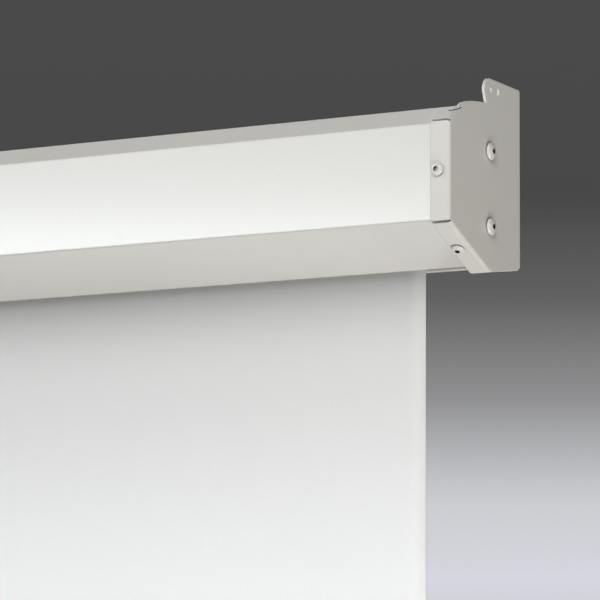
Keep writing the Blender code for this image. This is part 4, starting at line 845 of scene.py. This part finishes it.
def make_fabric():
    """The hanging sheet, white in front and bare weave behind."""
    low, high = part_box("screen_fabric")
    middle = (low.y + high.y) / 2
    bottom = low.z - FABRIC_TUCK
    bm = bmesh.new()
    bmesh.ops.create_grid(bm, x_segments=110, y_segments=150, size=0.5)
    bmesh.ops.scale(bm, vec=(FABRIC_WIDTH, high.z - bottom, 1.0), verts=bm.verts)
    bmesh.ops.rotate(bm, matrix=Matrix.Rotation(math.pi / 2, 3, "X"), verts=bm.verts)
    bmesh.ops.translate(bm, vec=(0.0, middle, (high.z + bottom) / 2), verts=bm.verts)
    for vert in bm.verts:
        vert.co.y += wave(vert.co.x, vert.co.z, bottom, high.z - STRAIGHT_RUN)
    bmesh.ops.recalc_face_normals(bm, faces=bm.faces)
    if sum(face.normal.y for face in bm.faces) > 0.0:
        bmesh.ops.reverse_faces(bm, faces=bm.faces)
    front = screen_front()
    fabric = place_piece("screen_cloth", bm, front, "case", ["screen_fabric"])
    fabric.data.materials.append(screen_back())
    thick = fabric.modifiers.new("cloth_thickness", "SOLIDIFY")
    thick.thickness = FABRIC_THICKNESS
    thick.offset = 0.0
    thick.material_offset = 1
    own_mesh(fabric)
    return fabric, (FABRIC_WIDTH, high.z - bottom)


def make_roll():
    """The turn of cloth that stays on the roller, wound as a spiral from the tube outwards."""
    spread = ROLL_INNER_RADIUS - ROLL_OUTER_RADIUS
    bm = bmesh.new()
    points = []
    for step in range(ROLL_STEPS + 1):
        angle = FULL_TURN * step / ROLL_STEPS
        radius = ROLL_OUTER_RADIUS + spread * step / ROLL_STEPS
        place = (-FABRIC_WIDTH / 2, radius * math.cos(angle), radius * math.sin(angle))
        points.append(bm.verts.new(Vector(place) + ROLLER_AXIS))
    edges = [bm.edges.new(pair) for pair in zip(points, points[1:])]
    grown = bmesh.ops.extrude_edge_only(bm, edges=edges)["geom"]
    moved = [item for item in grown if isinstance(item, bmesh.types.BMVert)]
    bmesh.ops.translate(bm, vec=(FABRIC_WIDTH, 0.0, 0.0), verts=moved)
    bmesh.ops.recalc_face_normals(bm, faces=bm.faces)
    back = screen_back()
    roll = place_piece("cloth_on_roller", bm, back, "roller", ["fabric_wraps"])
    thick = roll.modifiers.new("cloth_thickness", "SOLIDIFY")
    thick.thickness = ROLL_CLOTH_THICKNESS
    thick.offset = 0.0
    return roll


def make_hem():
    """The hem: one cloth led round the batten and welded to itself above it."""
    low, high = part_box("batten_hem")
    axis = Vector((0.0, (low.y + high.y) / 2, low.z + HEM_RADIUS + FABRIC_THICKNESS / 2))
    half = FABRIC_THICKNESS / 2 + HEM_SLACK
    top = high.z - axis.z
    join = math.asin(half / HEM_RADIUS)
    neck = HEM_RADIUS + HEM_NECK
    section = [(-half, top), (-half, 0.6 * top), (-half, neck)]
    for step in range(HEM_STEPS + 1):
        angle = math.pi / 2 + 3 * join + (FULL_TURN - 6 * join) * step / HEM_STEPS
        section.append((HEM_RADIUS * math.cos(angle), HEM_RADIUS * math.sin(angle)))
    section += [(half, neck), (half, 0.6 * top), (half, top)]
    length = high.x - low.x
    bm = bmesh.new()
    row = [bm.verts.new(Vector((low.x, y, z)) + axis) for y, z in section]
    edges = [bm.edges.new(pair) for pair in zip(row, row[1:])]
    for cut in range(HEM_CUTS):
        grown = bmesh.ops.extrude_edge_only(bm, edges=edges)["geom"]
        edges = [item for item in grown if isinstance(item, bmesh.types.BMEdge)]
        moved = [item for item in grown if isinstance(item, bmesh.types.BMVert)]
        bmesh.ops.translate(bm, vec=(length / HEM_CUTS, 0.0, 0.0), verts=moved)
    for vert in bm.verts:
        away = vert.co - axis
        if away.z < HEM_RADIUS + 0.0005 and abs(away.y) > 0.001:
            where = Vector((30.0 * vert.co.x, 60.0 * away.y, 60.0 * away.z))
            ripple = RIPPLE_DEPTH * noise.noise(where)
            vert.co += Vector((0.0, away.y, away.z)).normalized() * min(0.0, ripple)
    bmesh.ops.recalc_face_normals(bm, faces=bm.faces)
    cloth = hem_cloth()
    hem = place_piece("batten_hem_cloth", bm, cloth, "batten", ["batten_hem"])
    thick = hem.modifiers.new("cloth_thickness", "SOLIDIFY")
    thick.thickness = HEM_CLOTH_THICKNESS
    thick.offset = 0.0
    return hem


def make_batten_caps():
    """The moulded plugs that close the batten and the hem's ends."""
    dull, fresh = (0.74, 0.74, 0.725), (0.78, 0.78, 0.765)
    plastic_white = plastic("white_cap_plastic", dull, fresh, 0.36, 0.48, 1600.0)
    for label, side in SIDES:
        node = label + "_batten_cap"
        low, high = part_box(node)
        radius = (high.z - low.z) / 2
        centre_z = (high.z + low.z) / 2
        centre_y = (high.y + low.y) / 2
        seat = side * FABRIC_WIDTH / 2
        plug = BATTEN_RADIUS - PLUG_SLACK
        profile = [(-PLUG_LENGTH, 0.0), (-PLUG_LENGTH, plug - 0.001)]
        profile += [(-PLUG_SHOULDER, plug), (CLEARANCE, plug)]
        profile += [(CLEARANCE, radius - CAP_CHAMFER), (CLEARANCE + CAP_CHAMFER, radius)]
        profile.append((CAP_RIM, radius))
        for step in range(1, CAP_ROUND_STEPS + 1):
            angle = math.pi / 2 * step / CAP_ROUND_STEPS
            x = CAP_RIM + CAP_ROUND_LENGTH * math.sin(angle)
            profile.append((x, radius - CAP_ROUND_DEPTH * (1.0 - math.cos(angle))))
        bm = spun(profile + CAP_DIMPLE, ROUND_SEGMENTS)
        bm.transform(turned_to((seat, centre_y, centre_z), (side, 0.0, 0.0)))
        place_piece(node + "_finished", bm, plastic_white, "batten", [node])


# Cable


def cable_route():
    """The motor cable's run, from the motor's head in one bend through the bush into the box."""
    low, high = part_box("motor_cable")
    bush_low, bush_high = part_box("cable_bush")
    centre_y = (bush_low.y + bush_high.y) / 2
    centre_z = (bush_low.z + bush_high.z) / 2
    start = Vector((low.x + CABLE_RADIUS, low.y, high.z - CABLE_RADIUS))
    bush = Vector((bush_low.x + CLEARANCE, centre_y, centre_z))
    pull_start = start + Vector((0.0, CABLE_EASE, 0.0))
    pull_end = bush - Vector((CABLE_EASE, 0.0, 0.0))
    points = []
    for step in range(CABLE_STEPS + 1):
        t = step / CABLE_STEPS
        rest = 1.0 - t
        near = start * rest**3 + pull_start * (3 * rest**2 * t)
        points.append(near + pull_end * (3 * rest * t**2) + bush * t**3)
    points.append(Vector((high.x, centre_y, centre_z)))
    return points


def make_cable():
    points = cable_route()
    curve = bpy.data.curves.new("motor_lead", "CURVE")
    curve.dimensions = "3D"
    curve.bevel_depth = CABLE_RADIUS
    curve.bevel_resolution = 6
    curve.use_fill_caps = True
    spline = curve.splines.new("POLY")
    spline.points.add(len(points) - 1)
    for target, point in zip(spline.points, points):
        target.co = (*point, 1.0)
    cable = bpy.data.objects.new("motor_lead", curve)
    bpy.context.scene.collection.objects.link(cable)
    curve.materials.append(cable_jacket())
    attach(cable, "case")
    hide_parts("motor_cable")


# Assembly

BODIES = frame["record"]["behaviour"]["bodies"]
BODY_OF = {node: body for body, nodes in BODIES.items() for node in nodes}

make_camera()
make_backdrop()
make_lights()
make_floor()

# The end caps take the heavier dusting and painted shade on their upward faces.
CAP_PAINT = sheet_paint("dry_white_paint", 0.820, 0.44, 0.49, 0.0, 0.85)
CASE_PAINT = sheet_paint("satin_white_paint", 0.770, 0.25, 0.28, 1.0, 0.62)
SCREW_PAINT = screw_paint()
RECESS = recess_shadow()
ZINC = zinc_plate()
STEEL = bright_steel()
ALUMINIUM = cast_aluminium()
BRASS = brass()
WHITE_PLASTIC = plastic(
    "white_plastic_skin", (0.72, 0.72, 0.70), (0.77, 0.77, 0.75), 0.38, 0.50, 1400.0
)
GREY_PLASTIC = plastic(
    "grey_plastic_skin", (0.22, 0.225, 0.235), (0.28, 0.285, 0.295), 0.42, 0.56, 1200.0
)
BLACK_PLASTIC = plastic(
    "black_plastic_skin", (0.016, 0.016, 0.017), (0.030, 0.030, 0.031), 0.40, 0.55, 1200.0
)

make_screws()
fabric, fabric_size = make_fabric()
roll = make_roll()
hem = make_hem()
make_batten_caps()
make_cable()

# Each slot's finish, and how widely its cut edges are eased
FINISHES = {
    "white_powder_coat": (CAP_PAINT, 0.00080),
    "zinc_plate": (ZINC, 0.00020),
    "bright_steel": (STEEL, 0.00012),
    "aluminium_parts": (ALUMINIUM, 0.00040),
    "brass_parts": (BRASS, 0.00015),
    "white_plastic": (WHITE_PLASTIC, 0.00025),
    "grey_plastic": (GREY_PLASTIC, 0.00040),
    "black_plastic": (BLACK_PLASTIC, 0.00020),
}
SLOT_OF = {part["node"]: part["material_slot"] for part in frame["record"]["subparts"]}
for node in sorted(BODY_OF):
    if not frame["nodes"][node].hide_render:
        finish, width = FINISHES[SLOT_OF[node]]
        if node == "case_shell":
            finish, width = CASE_PAINT, 0.00030
        dressed_node(node, finish, width)

bpy.context.scene.view_settings.view_transform = "Standard"
